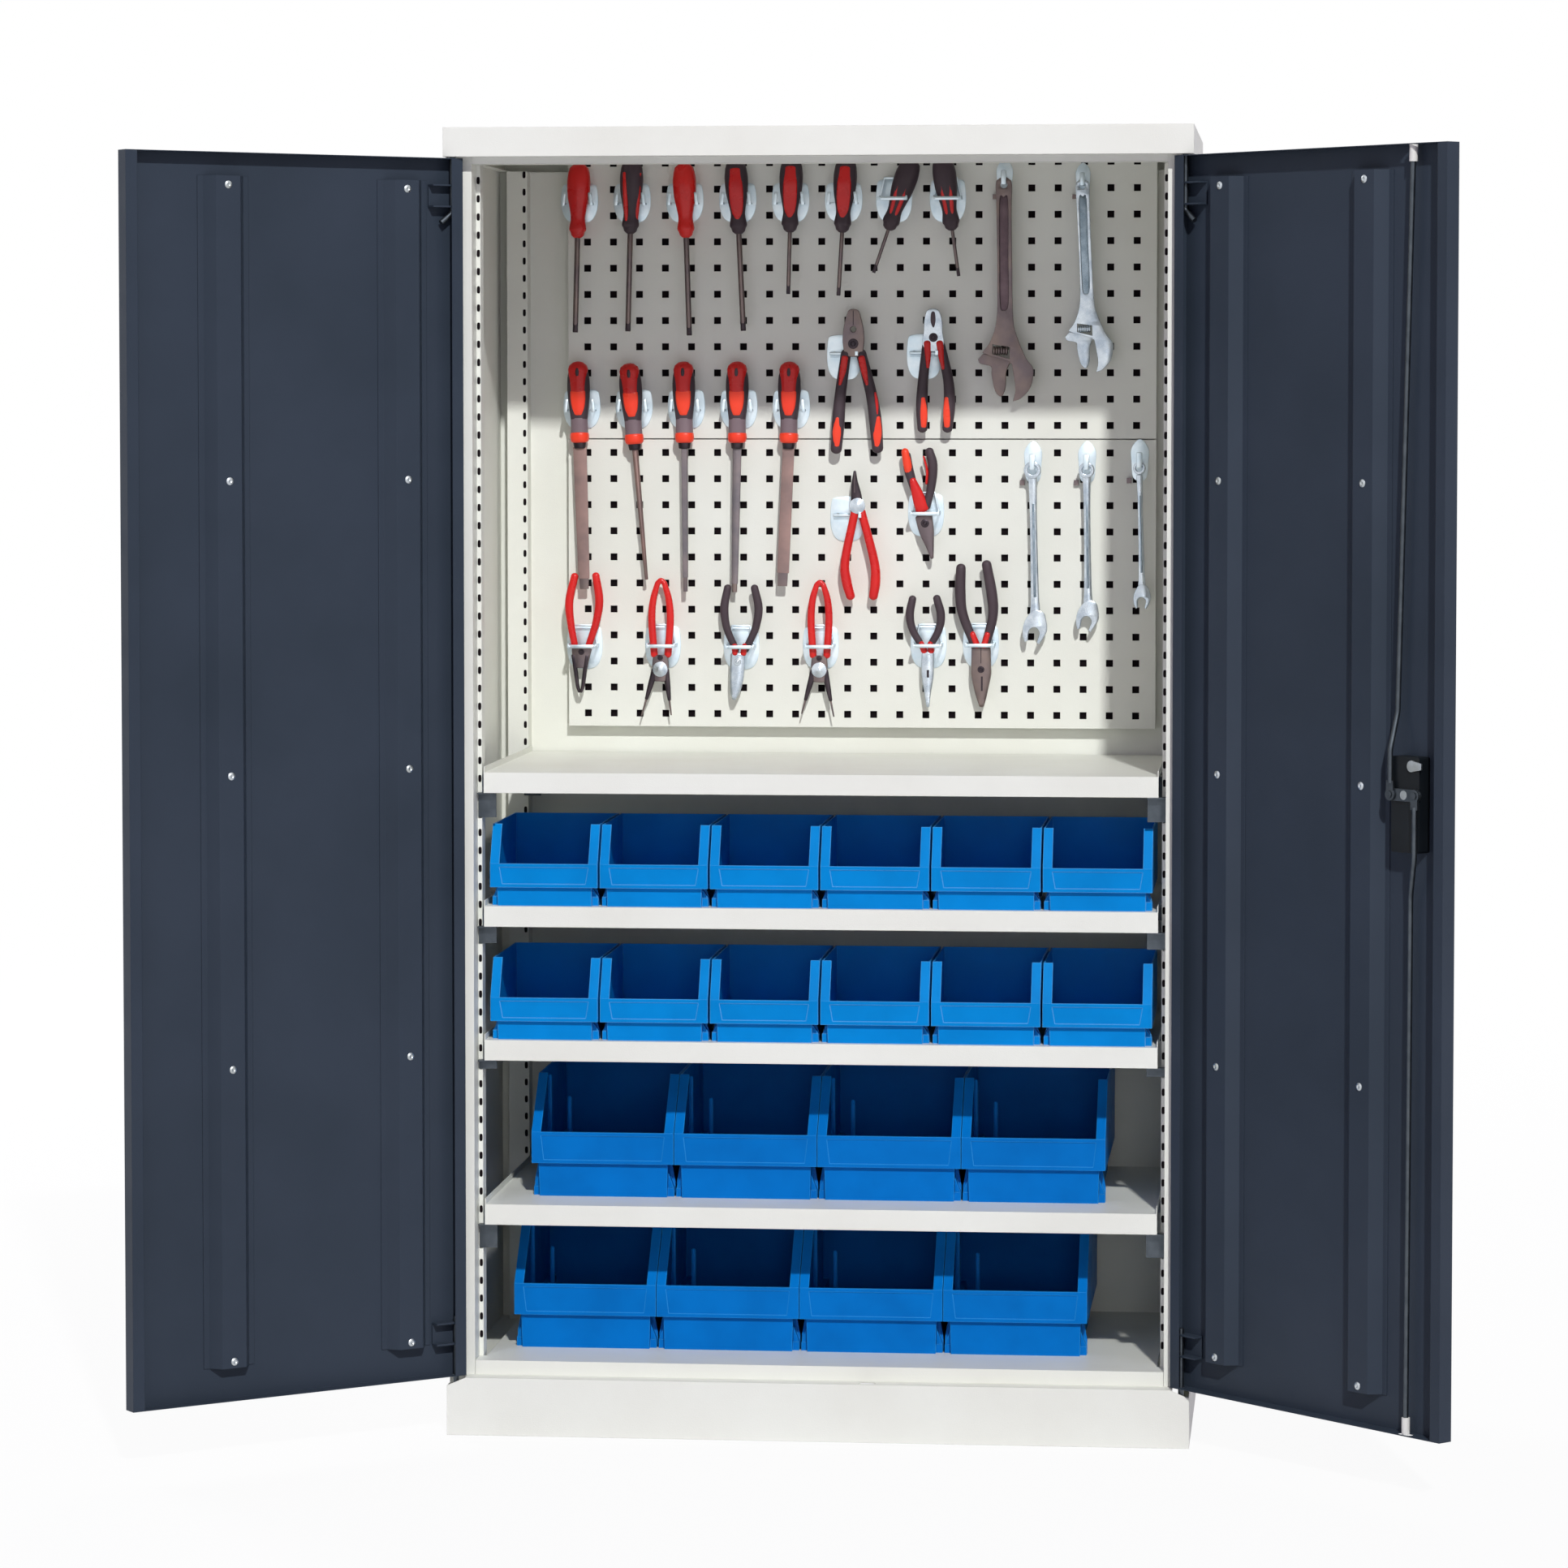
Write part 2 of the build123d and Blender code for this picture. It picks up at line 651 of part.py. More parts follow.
# each rod: up or down from the handle, the side its eye is on, the bent end from the line of the
# tips, the lock case's end and the tip's end; the tips stand on the handle's own upright line
case_top = lock_case_size[1] / 2 - lock_case_drop
case_bottom = lock_case_size[1] / 2 + lock_case_drop
rods = {
    "upper_rod": (1, -cam_arm, -cam_arm, case_top, door_top - rod_end_gap - lock_height),
    "lower_rod": (-1, cam_arm, rod_lean, case_bottom, lock_height - door_bottom - rod_end_gap),
}
eye_middle = eye_level + eye_gauge / 2
for name, (way, eye_x, bent_x, case_end, tip_end) in rods.items():
    tip_start = tip_end - rod_tip[1]

    def rod_point(across, level, along):
        """A point of the rod, from the handle's axis."""
        return lock_plane(level).from_local_coords(Vector(across, way * along, 0))

    with BuildPart() as rod:
        with BuildLine() as rod_path:
            FilletPolyline(
                rod_point(eye_x, eye_middle, eye_neck[1] - rod_radius),
                rod_point(eye_x, eye_middle, case_end + rod_lead),
                rod_point(bent_x, rod_level, case_end + rod_lead + rod_bend),
                rod_point(0, rod_level, tip_start),
                radius=rod_bend_radius,
            )
        with BuildSketch(Plane(rod_path.line @ 0, z_dir=rod_path.line % 0)):
            Circle(rod_radius)
        sweep(path=rod_path.line)
        with BuildSketch(lock_plane(eye_level)):
            with Locations((eye_x, 0)):
                Circle(eye_radius)
            with Locations((eye_x, way * eye_neck[1] / 2)):
                Rectangle(*eye_neck)
        extrude(amount=eye_gauge)
        with BuildSketch(lock_plane(eye_level)):
            with Locations((eye_x, 0)):
                Circle(rivet_radius + running_fit)
        extrude(amount=eye_gauge, mode=Mode.SUBTRACT)
    save(rod, name)

    with BuildPart() as tip:
        with BuildSketch(Plane(rod_path.line @ 1, z_dir=rod_path.line % 1)):
            Circle(rod_tip[0])
        extrude(amount=rod_tip[1])
    save(tip, f"{name}_tip")


# ---------------------------------------------------------------- storage bins
def storage_bin(sizes, place_x, place_y, place_z):
    """An open-fronted bin whose front bottom edge has its middle at the given place."""
    bin_width, bin_depth, bin_height, band_low, band_high, run, pitch = sizes
    half = bin_width / 2
    body_half = half - bin_side_inset
    side_view = Plane(origin=(place_x, place_y, place_z), x_dir=(0, 1, 0), z_dir=(1, 0, 0))
    front_view = Plane(origin=(place_x, place_y, place_z), x_dir=(1, 0, 0), z_dir=(0, -1, 0))
    top_view = Plane(origin=(place_x, place_y, place_z))
    body_middle = (bin_front_inset + bin_depth) / 2
    body_depth = bin_depth - bin_front_inset

    with BuildPart() as storage:
        # the walls above the lower body
        with BuildSketch(side_view):
            with BuildLine():
                Polyline(
                    (0, band_low), (0, band_high), (run, bin_height), (bin_depth, bin_height),
                    (bin_depth, band_low), close=True,
                )
            make_face()
        extrude(amount=half, both=True)
        # the lower body tapers down to the floor of the bin
        with BuildSketch(top_view.offset(band_low)):
            with Locations((0, body_middle)):
                Rectangle(2 * body_half, body_depth)
        extrude(amount=-band_low, taper=bin_draft)
        with BuildSketch(top_view):
            with Locations((0, bin_front_inset + bin_foot[1])):
                Rectangle(2 * (body_half + bin_foot[0]), bin_foot[1])
        extrude(amount=bin_foot[2])
        # the hollow
        with BuildSketch(side_view):
            with BuildLine():
                Polyline(
                    (bin_wall, band_low + bin_wall), (bin_wall, band_high - bin_wall),
                    (bin_frame, band_high), (run + bin_frame, bin_height + bin_wall),
                    (bin_depth - bin_wall, bin_height + bin_wall),
                    (bin_depth - bin_wall, band_low + bin_wall), close=True,
                )
            make_face()
        extrude(amount=half - bin_wall, both=True, mode=Mode.SUBTRACT)
        with BuildSketch(top_view.offset(band_low + bin_wall)):
            with Locations((0, body_middle)):
                Rectangle(2 * (body_half - bin_wall), body_depth - 2 * bin_wall)
        extrude(amount=-band_low, taper=bin_draft, mode=Mode.SUBTRACT)
        # the way in between the posts
        with BuildSketch(front_view):
            with BuildLine():
                Polyline(
                    (-half + bin_post, band_high), (half - bin_post, band_high),
                    (half - bin_post, bin_height + bin_wall), (-half + bin_post, bin_height + bin_wall),
                    close=True,
                )
            make_face()
        extrude(amount=-run - bin_frame - bin_wall, mode=Mode.SUBTRACT)
        # the label field
        slope, margin, sunk = bin_label
        with BuildSketch(front_view):
            with BuildLine():
                Polyline(
                    (-half + bin_post, band_high - margin), (half - bin_post, band_high - margin),
                    (half - bin_post - slope, band_low + margin),
                    (-half + bin_post + slope, band_low + margin), close=True,
                )
            make_face()
        extrude(amount=-sunk, mode=Mode.SUBTRACT)
    return storage


small_reach = shelf_front + small_bin_setback
large_reach = panel_face - large_bin_rear_room - large_bin[1]
bin_rows = [
    (large_bin, "large_bin", 4, lower_large_shift, large_reach, floor_top),
    (large_bin, "large_bin", 4, upper_large_shift, large_reach, shelf_tops[0]),
    (small_bin, "small_bin", 6, 0.0, small_reach, shelf_tops[1]),
    (small_bin, "small_bin", 6, 0.0, small_reach, shelf_tops[2]),
]
numbers = {"large_bin": 0, "small_bin": 0}
for sizes, name, count, shift, place_y, place_z in bin_rows:
    for n in range(count):
        numbers[name] += 1
        place_x = shift + (n - (count - 1) / 2) * sizes[-1]
        save(storage_bin(sizes, place_x, place_y, place_z), f"{name}_{numbers[name]}")
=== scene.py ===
"""Dresses the two-door tool cabinet: its finishes, small fittings, tool holders and hand tools.

The cabinet's frame is in metres: X to the right, Y to the back, Z up. The small parts are drawn in
millimetres in that frame and scaled once, when their mesh becomes a piece.
"""

import json
from math import cos, pi, radians, sin

import bmesh
import bpy
from mathutils import Matrix, Vector


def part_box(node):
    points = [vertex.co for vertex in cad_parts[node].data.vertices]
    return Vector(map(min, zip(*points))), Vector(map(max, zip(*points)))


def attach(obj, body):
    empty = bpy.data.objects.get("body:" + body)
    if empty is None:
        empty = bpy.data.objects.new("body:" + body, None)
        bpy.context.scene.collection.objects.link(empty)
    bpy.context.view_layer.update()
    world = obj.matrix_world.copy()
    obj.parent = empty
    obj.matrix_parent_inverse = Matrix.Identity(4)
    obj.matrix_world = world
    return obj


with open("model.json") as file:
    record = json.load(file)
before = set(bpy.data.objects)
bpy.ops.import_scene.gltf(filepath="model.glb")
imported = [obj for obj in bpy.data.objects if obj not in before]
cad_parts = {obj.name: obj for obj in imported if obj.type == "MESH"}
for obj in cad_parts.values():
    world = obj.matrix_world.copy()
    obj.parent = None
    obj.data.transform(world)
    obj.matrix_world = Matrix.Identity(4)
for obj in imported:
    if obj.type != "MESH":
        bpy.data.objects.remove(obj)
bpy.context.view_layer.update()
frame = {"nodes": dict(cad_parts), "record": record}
scene = bpy.context.scene
MM = 0.001


# ---------------------------------------------------------------- node trees
class Value:
    """A node's output. Arithmetic on it adds Math nodes to its tree."""

    def __init__(self, tree, socket):
        self.tree, self.socket = tree, socket

    def maths(self, operation, *terms):
        return self.tree.node("ShaderNodeMath", {"operation": operation}, dict(enumerate(terms)))

    def __add__(self, other):
        return self.maths("ADD", self, other)

    def __mul__(self, other):
        return self.maths("MULTIPLY", self, other)

    __radd__ = __add__
    __rmul__ = __mul__


class Tree:
    """A shader or geometry node tree under way."""

    def __init__(self, made):
        self.made = made

    def node(self, kind, settings=(), sockets=(), output=0):
        """Adds a node, its settings first, and gives the output that is named or numbered."""
        node = self.made.nodes.new(kind)
        for name, value in dict(settings).items():
            setattr(node, name, value)
        for name, value in dict(sockets).items():
            if isinstance(value, Value):
                self.made.links.new(value.socket, node.inputs[name])
            else:
                node.inputs[name].default_value = value
        return Value(self, node.outputs[output]) if len(node.outputs) else node


def rgb(digits):
    """A linear colour from the usual six digits."""
    parts = [int(digits[i : i + 2], 16) / 255 for i in (0, 2, 4)]
    return (*[c / 12.92 if c <= 0.04045 else ((c + 0.055) / 1.055) ** 2.4 for c in parts], 1.0)


class Finish(Tree):
    """A material under way, read in the cabinet's own coordinates."""

    def __init__(self, name):
        self.material = bpy.data.materials.new(name)
        self.material.use_nodes = True
        super().__init__(self.material.node_tree)
        self.made.nodes.clear()
        self.place = self.node("ShaderNodeTexCoord", output="Object")

    def noise(self, scale, detail=2.0, stretch=(1.0, 1.0, 1.0)):
        """Noise about 0.5 with so many waves to the metre, drawn out along an axis if asked."""
        place = self.node("ShaderNodeMapping", {}, {"Vector": self.place, "Scale": stretch})
        sockets = {"Vector": place, "Scale": scale, "Detail": detail}
        return self.node("ShaderNodeTexNoise", {}, sockets)

    def lines(self, scale, direction):
        """Straight waves across a direction, so many to the metre."""
        place = self.node("ShaderNodeMapping", {}, {"Vector": self.place, "Rotation": direction})
        settings = {"wave_type": "BANDS", "bands_direction": "X", "wave_profile": "SIN"}
        return self.node("ShaderNodeTexWave", settings, {"Vector": place, "Scale": scale}, "Fac")

    def spread(self, amount, start, end, low=0.0, high=1.0):
        """A number from low to high as the amount goes from start to end."""
        sockets = {"Value": amount, "From Min": start, "From Max": end}
        sockets |= {"To Min": low, "To Max": high}
        return self.node("ShaderNodeMapRange", {"clamp": True}, sockets)

    def blend(self, amount, first, second):
        """A colour from the first to the second."""
        sockets = {0: amount, 6: first, 7: second}
        return self.node("ShaderNodeMix", {"data_type": "RGBA"}, sockets, 2)

    def edges(self, reach):
        """1 along an edge, fading to 0 at so far from it."""
        rounded = self.node("ShaderNodeBevel", {"samples": 4}, {"Radius": reach})
        face = self.node("ShaderNodeNewGeometry", output="Normal")
        settings = {"operation": "DOT_PRODUCT"}
        along = self.node("ShaderNodeVectorMath", settings, {0: rounded, 1: face}, "Value")
        return self.spread(along, 0.99, 0.86)

    def bump(self, height, distance, edge=0.0):
        """A normal from a height, over edges rounded by so much."""
        sockets = {"Strength": 1.0, "Distance": distance, "Height": height}
        if edge:
            sockets["Normal"] = self.node("ShaderNodeBevel", {"samples": 4}, {"Radius": edge})
        return self.node("ShaderNodeBump", {}, sockets)

    def done(self, **sockets):
        """Ends the tree in one shader and gives the material."""
        named = {name.replace("_", " "): value for name, value in sockets.items()}
        shader = self.node("ShaderNodeBsdfPrincipled", {}, named)
        self.node("ShaderNodeOutputMaterial", {}, {"Surface": shader})
        return self.material


# ---------------------------------------------------------------- finishes
def powder_coat(name, colour, deeper, gloss, shine):
    """Baked powder on sheet steel: orange peel, a slightly uneven tone and rounded folds."""
    coat = Finish(name)
    tone = coat.blend(coat.spread(coat.noise(5.0, 4.0), 0.35, 0.7), colour, deeper)
    peel = coat.noise(700.0, 1.0) + 0.35 * coat.noise(160.0, 1.0)
    uneven = coat.spread(coat.noise(24.0, 3.0), 0.3, 0.7, gloss - 0.04, gloss + 0.05)
    normal = coat.bump(peel, 0.00012, edge=0.0012)
    return coat.done(Base_Color=tone, Roughness=uneven, Normal=normal, Specular_IOR_Level=shine)


def plated(name, pale, tinted, smooth, stretch=(1.0, 1.0, 1.0), scale=60.0):
    """Plated or ground steel with drifting tints and fine rubbing marks."""
    metal = Finish(name)
    tint = metal.blend(metal.spread(metal.noise(scale, 3.0), 0.35, 0.7), pale, tinted)
    marks = metal.noise(1400.0, 2.0, stretch)
    rubbed = metal.spread(marks + metal.noise(45.0), 0.7, 1.3, smooth, smooth + 0.16)
    normal = metal.bump(marks, 0.00003, edge=0.0005)
    return metal.done(Base_Color=tint, Metallic=1.0, Roughness=rubbed, Normal=normal)


def moulded(name, colour, deeper, gloss, shine=0.4, grain=0.00005, scale=900.0, edge_highlight=None):
    """Moulded plastic or rubber: its mould's grain, a drift of tone and, if asked, a painted
    highlight along its edges.
    """
    plastic = Finish(name)
    tone = plastic.blend(plastic.spread(plastic.noise(14.0, 3.0), 0.35, 0.68), colour, deeper)
    if edge_highlight:
        # a paler colour along the edges, which is painted highlight
        tone = plastic.blend(plastic.edges(0.0016) * 0.8, tone, edge_highlight)
    uneven = plastic.spread(plastic.noise(40.0, 3.0), 0.3, 0.7, gloss - 0.05, gloss + 0.07)
    normal = plastic.bump(plastic.noise(scale, 2.0), grain, edge=0.0008)
    return plastic.done(Base_Color=tone, Roughness=uneven, Normal=normal, Specular_IOR_Level=shine)


def filed_steel(name, pale, tinted):
    """A file's cut faces: two crossing rows of teeth on tinted steel."""
    steel = Finish(name)
    teeth = steel.lines(250.0, (0.0, 0.9, 0.0)) * steel.lines(250.0, (0.0, -1.1, 0.0))
    tint = steel.blend(steel.spread(steel.noise(30.0, 3.0), 0.35, 0.7), pale, tinted)
    normal = steel.bump(teeth, 0.0002)
    return steel.done(Base_Color=tint, Metallic=0.85, Roughness=0.5, Normal=normal)


finishes = {
    "ivory": powder_coat("ivory coat", rgb("eff1e8"), rgb("e9eae0"), 0.42, 0.4),
    "anthracite": powder_coat("anthracite coat", rgb("37404c"), rgb("323b46"), 0.42, 0.12),
    "zinc": plated("zinc plate", rgb("c3c9d0"), rgb("aeb3b4"), 0.28),
    "chrome": plated("chrome plate", rgb("cdd5dd"), rgb("a9b4c1"), 0.16),
    "black": moulded("black plastic", rgb("0d1115"), rgb("14191e"), 0.42, 0.25),
    "white": moulded("white plastic", rgb("ecece6"), rgb("e0e0d8"), 0.35),
    # The two blues take a painted highlight along their edges.
    "bright_blue": moulded(
        "bright blue plastic", rgb("008ad8"), rgb("0081cc"), 0.35, 0.06, edge_highlight=rgb("6fb9ee")
    ),
    "deep_blue": moulded(
        "deep blue plastic", rgb("0074c8"), rgb("006bbb"), 0.35, 0.06, edge_highlight=rgb("3aa3e6")
    ),
    "tool_red": moulded("red plastic", rgb("e2231f"), rgb("d11a1c"), 0.28),
    "tool_grip": moulded(
        "soft grey grip", rgb("4a3d44"), rgb("40353b"), 0.50, 0.3, grain=0.00012, scale=1500.0
    ),
    "tool_steel": plated(
        "dark tool steel", rgb("6e6367"), rgb("82736f"), 0.34, stretch=(1.0, 1.0, 0.1), scale=30.0
    ),
}
orange_inlay = moulded("orange-red plastic", rgb("ff4a2c"), rgb("f63c24"), 0.32)
burnt_steel = plated("blackened steel", rgb("3a343a"), rgb("4a4146"), 0.32)
file_face = filed_steel("file steel", rgb("86716f"), rgb("9c807b"))
grey_file_face = filed_steel("grey file steel", rgb("6f6a70"), rgb("857a7d"))
pale_grip = moulded(
    "grey-brown grip", rgb("857278"), rgb("74636a"), 0.45, grain=0.0001, scale=1500.0
)
dark_zinc_and_clip_shade = plated("dulled zinc", rgb("565c63"), rgb("484e55"), 0.36)
# A darker chrome that paints the shade in grooves and recessed panels.
chrome_with_painted_shade = plated("chrome in a recess", rgb("74838f"), rgb("9aa7b3"), 0.2)
# A darker steel that paints the shade in a recessed panel.
steel_with_painted_shade = plated("dark recess", rgb("5b4c53"), rgb("6a5a60"), 0.36)
holder_zinc = plated("blue-white zinc plate", rgb("e3eef6"), rgb("cfe0ec"), 0.34)
# A near-black that paints the shade seen through slots and holes.
slot_and_hole_shade = moulded("shadowed slot", rgb("120c0f"), rgb("1a1215"), 0.8, 0.1)

slots_of = {part["node"]: part["material_slot"] for part in frame["record"]["subparts"]}
# Rods, cam and hinge pins take a darker zinc as their own colour; on the shelf clips the darker
# zinc is painted shade.
dark_zinc_and_shaded_clip_nodes = ("upper_rod", "lower_rod", "rod_cam", "left_hinge_pins", "right_hinge_pins",
              "shelf_clips")
for name, node in frame["nodes"].items():
    finish = dark_zinc_and_clip_shade if name in dark_zinc_and_shaded_clip_nodes else finishes[slots_of[name]]
    node.material_slots[0].material = finish


# ---------------------------------------------------------------- shapes, drawn in millimetres
def finished(name, shape):
    """A shape's closed mesh in metres, smooth but for its sharp edges."""
    bmesh.ops.remove_doubles(shape, verts=shape.verts, dist=0.01)
    bmesh.ops.recalc_face_normals(shape, faces=shape.faces)
    mesh = bpy.data.meshes.new(name)
    shape.to_mesh(mesh)
    shape.free()
    mesh.transform(Matrix.Scale(MM, 4))
    mesh.shade_smooth()
    mesh.set_sharp_from_angle(angle=radians(35))
    return mesh


def added(name, mesh, finish, body):
    """Turns a mesh into a piece that rides on a body. Its place is in its mesh."""
    mesh.materials.append(finish)
    thing = bpy.data.objects.new(name, mesh)
    scene.collection.objects.link(thing)
    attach(thing, body)


def piece(name, shape, finish, body):
    """Turns a shape into a piece that rides on a body."""
    added(name, finished(name, shape), finish, body)


def hermite(a, b, leaving, arriving, t):
    """A point on the smooth curve between two points with those slopes."""
    h = (2 * t**3 - 3 * t**2 + 1, t**3 - 2 * t**2 + t, 3 * t**2 - 2 * t**3, t**3 - t**2)
    return a * h[0] + leaving * h[1] + b * h[2] + arriving * h[3]


def smoothed(stations, steps):
    """Extra stations on a smooth open curve through those given, whatever numbers they hold."""
    points = [Vector(s) for s in stations]
    made = []
    for i in range(len(points) - 1):
        a, b = points[i], points[i + 1]
        leaving = (b - points[i - 1]) / 2 if i else b - a
        arriving = (points[i + 2] - a) / 2 if i + 2 < len(points) else b - a
        made += [hermite(a, b, leaving, arriving, k / steps) for k in range(steps)]
    return [*made, points[-1]]


def outline(corners, steps=4):
    """A closed line through points (x, z); one with a third number is a sharp corner."""
    count = len(corners)
    made = []
    for i, corner in enumerate(corners):
        a, b = Vector(corner[:2]), Vector(corners[(i + 1) % count][:2])
        before, after = Vector(corners[i - 1][:2]), Vector(corners[(i + 2) % count][:2])
        sharp = len(corner) > 2, len(corners[(i + 1) % count]) > 2
        leaving = b - a if sharp[0] else (b - before) / 2
        arriving = b - a if sharp[1] else (after - a) / 2
        parts = 1 if all(sharp) else steps
        made += [hermite(a, b, leaving, arriving, k / parts) for k in range(parts)]
    return made


def rings_closed(shape, rings):
    """Skins a row of rings of equal count and closes both ends."""
    loops = [[shape.verts.new(p) for p in ring] for ring in rings]
    count = len(loops[0])
    for one, other in zip(loops, loops[1:]):
        for i in range(count):
            shape.faces.new((one[i - 1], one[i], other[i], other[i - 1]))
    shape.faces.new(loops[0])
    shape.faces.new(loops[-1])


def limb(shape, stations, depth, thick=0.9, square=2.3, around=12, steps=4, blunt=0.0):
    """A bar in the wall's plane through stations (x, z, width, thickness, forward), at a depth.

    The last two may be left out: the thickness is then a share of the width up to 1, or a size
    above that, and the bar runs at the depth given. Its ends are domed, or nearly flat when
    blunt is 1.
    """
    full = []
    for x, z, width, *rest in stations:
        thickness = rest[0] if rest else thick if thick > 1 else thick * width
        full.append((x, z, width, thickness, rest[1] if len(rest) > 1 else 0.0))
    path = smoothed(full, steps)
    angles = [2 * pi * k / around for k in range(around)]
    rings = []

    def ring(x, z, along, width, height, forward):
        across = Vector((along.y, -along.x))
        made = []
        for angle in angles:
            c, s = cos(angle), sin(angle)
            u = abs(c) ** (2 / square) * (1 if c > 0 else -1) * width / 2
            v = abs(s) ** (2 / square) * (1 if s > 0 else -1) * height / 2
            made.append((x + across.x * u, depth - forward + v, z + across.y * u))
        return made

    for i, (x, z, width, height, forward) in enumerate(path):
        ahead, behind = path[min(i + 1, len(path) - 1)], path[max(i - 1, 0)]
        along = Vector((ahead[0] - behind[0], ahead[1] - behind[1])).normalized()
        end = {0: -1, len(path) - 1: 1}.get(i, 0)
        dome = []
        for angle in (30, 60, 82):
            reach = min(width, height) / 2 * sin(radians(angle)) * (1 - blunt * 0.85) * end
            share = cos(radians(angle)) if blunt < 1 else 1 - 0.002 * angle
            point = (x + along.x * reach, z + along.y * reach)
            dome.append(ring(*point, along, width * share, height * share, forward))
        body = [ring(x, z, along, width, height, forward)]
        rings += dome[::-1] + body if end < 0 else body + dome if end > 0 else body
    rings_closed(shape, rings)


def turned(shape, profile, centre, axis, around=20):
    """A turned part from (distance along the axis, radius) pairs."""
    turn = Vector(axis).to_track_quat("Z", "Y").to_matrix()
    angles = [2 * pi * k / around for k in range(around)]
    rings = []
    for along, radius in profile:
        points = [Vector((radius * cos(a), radius * sin(a), along)) for a in angles]
        rings.append([Vector(centre) + turn @ p for p in points])
    rings_closed(shape, rings)


def flat(shape, outlines, depth, thickness, rounding):
    """A flat part in the wall's plane, cut to outlines (the first outside, the rest holes)."""
    curve = bpy.data.curves.new("outline", "CURVE")
    curve.dimensions, curve.fill_mode = "2D", "BOTH"
    curve.extrude = thickness / 2 - rounding
    curve.bevel_depth, curve.bevel_resolution, curve.offset = rounding, 1, -rounding
    for points in outlines:
        spline = curve.splines.new("POLY")
        spline.points.add(len(points) - 1)
        for point, (x, z) in zip(spline.points, points):
            point.co = (x, z, 0, 1)
        spline.use_cyclic_u = True
    carrier = bpy.data.objects.new("outline", curve)
    mesh = bpy.data.meshes.new_from_object(carrier)
    mesh.transform(Matrix.Translation((0, depth, 0)) @ Matrix.Rotation(pi / 2, 4, "X"))
    shape.from_mesh(mesh)
    bpy.data.objects.remove(carrier)
    bpy.data.curves.remove(curve)
    bpy.data.meshes.remove(mesh)


def circle(x, z, radius, count):
    """A round outline of so many points."""
    angles = [2 * pi * k / count for k in range(count)]
    return [(x + radius * cos(a), z + radius * sin(a)) for a in angles]


def slab(shape, low, high):
    """A block between two corners."""
    size = [b - a for a, b in zip(low, high)]
    middle = [(a + b) / 2 for a, b in zip(low, high)]
    place = Matrix.Translation(middle) @ Matrix.Diagonal((*size, 1))
    bmesh.ops.create_cube(shape, size=1, matrix=place)


# ---------------------------------------------------------------- repeats
def row_tree():
    """A geometry tree that sets a shape along a straight row."""
    group = bpy.data.node_groups.new("row of fittings", "GeometryNodeTree")
    kinds = {"Shape": "Object", "Finish": "Material", "Count": "Int"}
    kinds |= {"First": "Vector", "Step": "Vector", "Turn": "Rotation"}
    for name, kind in kinds.items():
        group.interface.new_socket(name, in_out="INPUT", socket_type=f"NodeSocket{kind}")
    group.interface.new_socket("Geometry", in_out="OUTPUT", socket_type="NodeSocketGeometry")
    tree = Tree(group)
    given = tree.node("NodeGroupInput").socket.node
    sizes = {name: Value(tree, given.outputs[name]) for name in kinds}
    line = {"Count": sizes["Count"], "Start Location": sizes["First"], "Offset": sizes["Step"]}
    places = tree.node("GeometryNodeMeshLine", {"mode": "OFFSET"}, line)
    shape = tree.node("GeometryNodeObjectInfo", {}, {"Object": sizes["Shape"]}, "Geometry")
    sockets = {"Points": places, "Instance": shape, "Rotation": sizes["Turn"]}
    copies = tree.node("GeometryNodeInstanceOnPoints", {}, sockets)
    whole = tree.node("GeometryNodeRealizeInstances", {}, {"Geometry": copies})
    sockets = {"Geometry": whole, "Material": sizes["Finish"]}
    coated = tree.node("GeometryNodeSetMaterial", {}, sockets)
    tree.node("NodeGroupOutput", {}, {"Geometry": coated})
    return group


rows = row_tree()


def shape_to_repeat(name, shape):
    """A small shape about the origin, for rows of it."""
    return bpy.data.objects.new(name, finished(name, shape))


def row(shape, finish, count, first, step, facing=None):
    """One row of copies as a plain mesh. Places are in millimetres."""
    turn = Vector(facing).to_track_quat("Z", "Y").to_euler() if facing else (0.0, 0.0, 0.0)
    sizes = {"Shape": shape, "Finish": finish, "Count": count, "Turn": turn}
    sizes |= {"First": Vector(first) * MM, "Step": Vector(step) * MM}
    carrier = bpy.data.objects.new("row", bpy.data.meshes.new("row"))
    scene.collection.objects.link(carrier)
    modifier = carrier.modifiers.new("row", "NODES")
    modifier.node_group = rows
    for socket in rows.interface.items_tree:
        if socket.in_out == "INPUT":
            modifier[socket.identifier] = sizes[socket.name]
    ready = carrier.evaluated_get(bpy.context.evaluated_depsgraph_get())
    mesh = bpy.data.meshes.new_from_object(ready)
    bpy.data.objects.remove(carrier)
    return mesh


def rows_piece(name, meshes, finish, body):
    """Several rows as one piece."""
    whole = bmesh.new()
    for mesh in meshes:
        whole.from_mesh(mesh)
        bpy.data.meshes.remove(mesh)
    mesh = bpy.data.meshes.new(name)
    whole.to_mesh(mesh)
    whole.free()
    added(name, mesh, finish, body)


# ---------------------------------------------------------------- camera, floor and light
def set_camera(place, tilt, turn, lens, shift):
    """The camera, tilted from level and turned from straight back by so many radians."""
    view = bpy.data.cameras.new("camera")
    view.sensor_width, view.lens, view.shift_y = 36.0, lens, shift
    camera = bpy.data.objects.new("camera", view)
    camera.location = place
    camera.rotation_euler = (pi / 2 + tilt, 0.0, turn)
    scene.collection.objects.link(camera)
    scene.camera = camera


def background_rays(tree):
    """1 for a ray that should see the studio's white, 0 for one that carries light."""
    kinds = ("Is Camera Ray", "Is Glossy Ray", "Is Transmission Ray")
    seen = [tree.node("ShaderNodeLightPath", output=kind) for kind in kinds]
    return seen[0].maths("MAXIMUM", seen[0], seen[1].maths("MAXIMUM", seen[1], seen[2]))


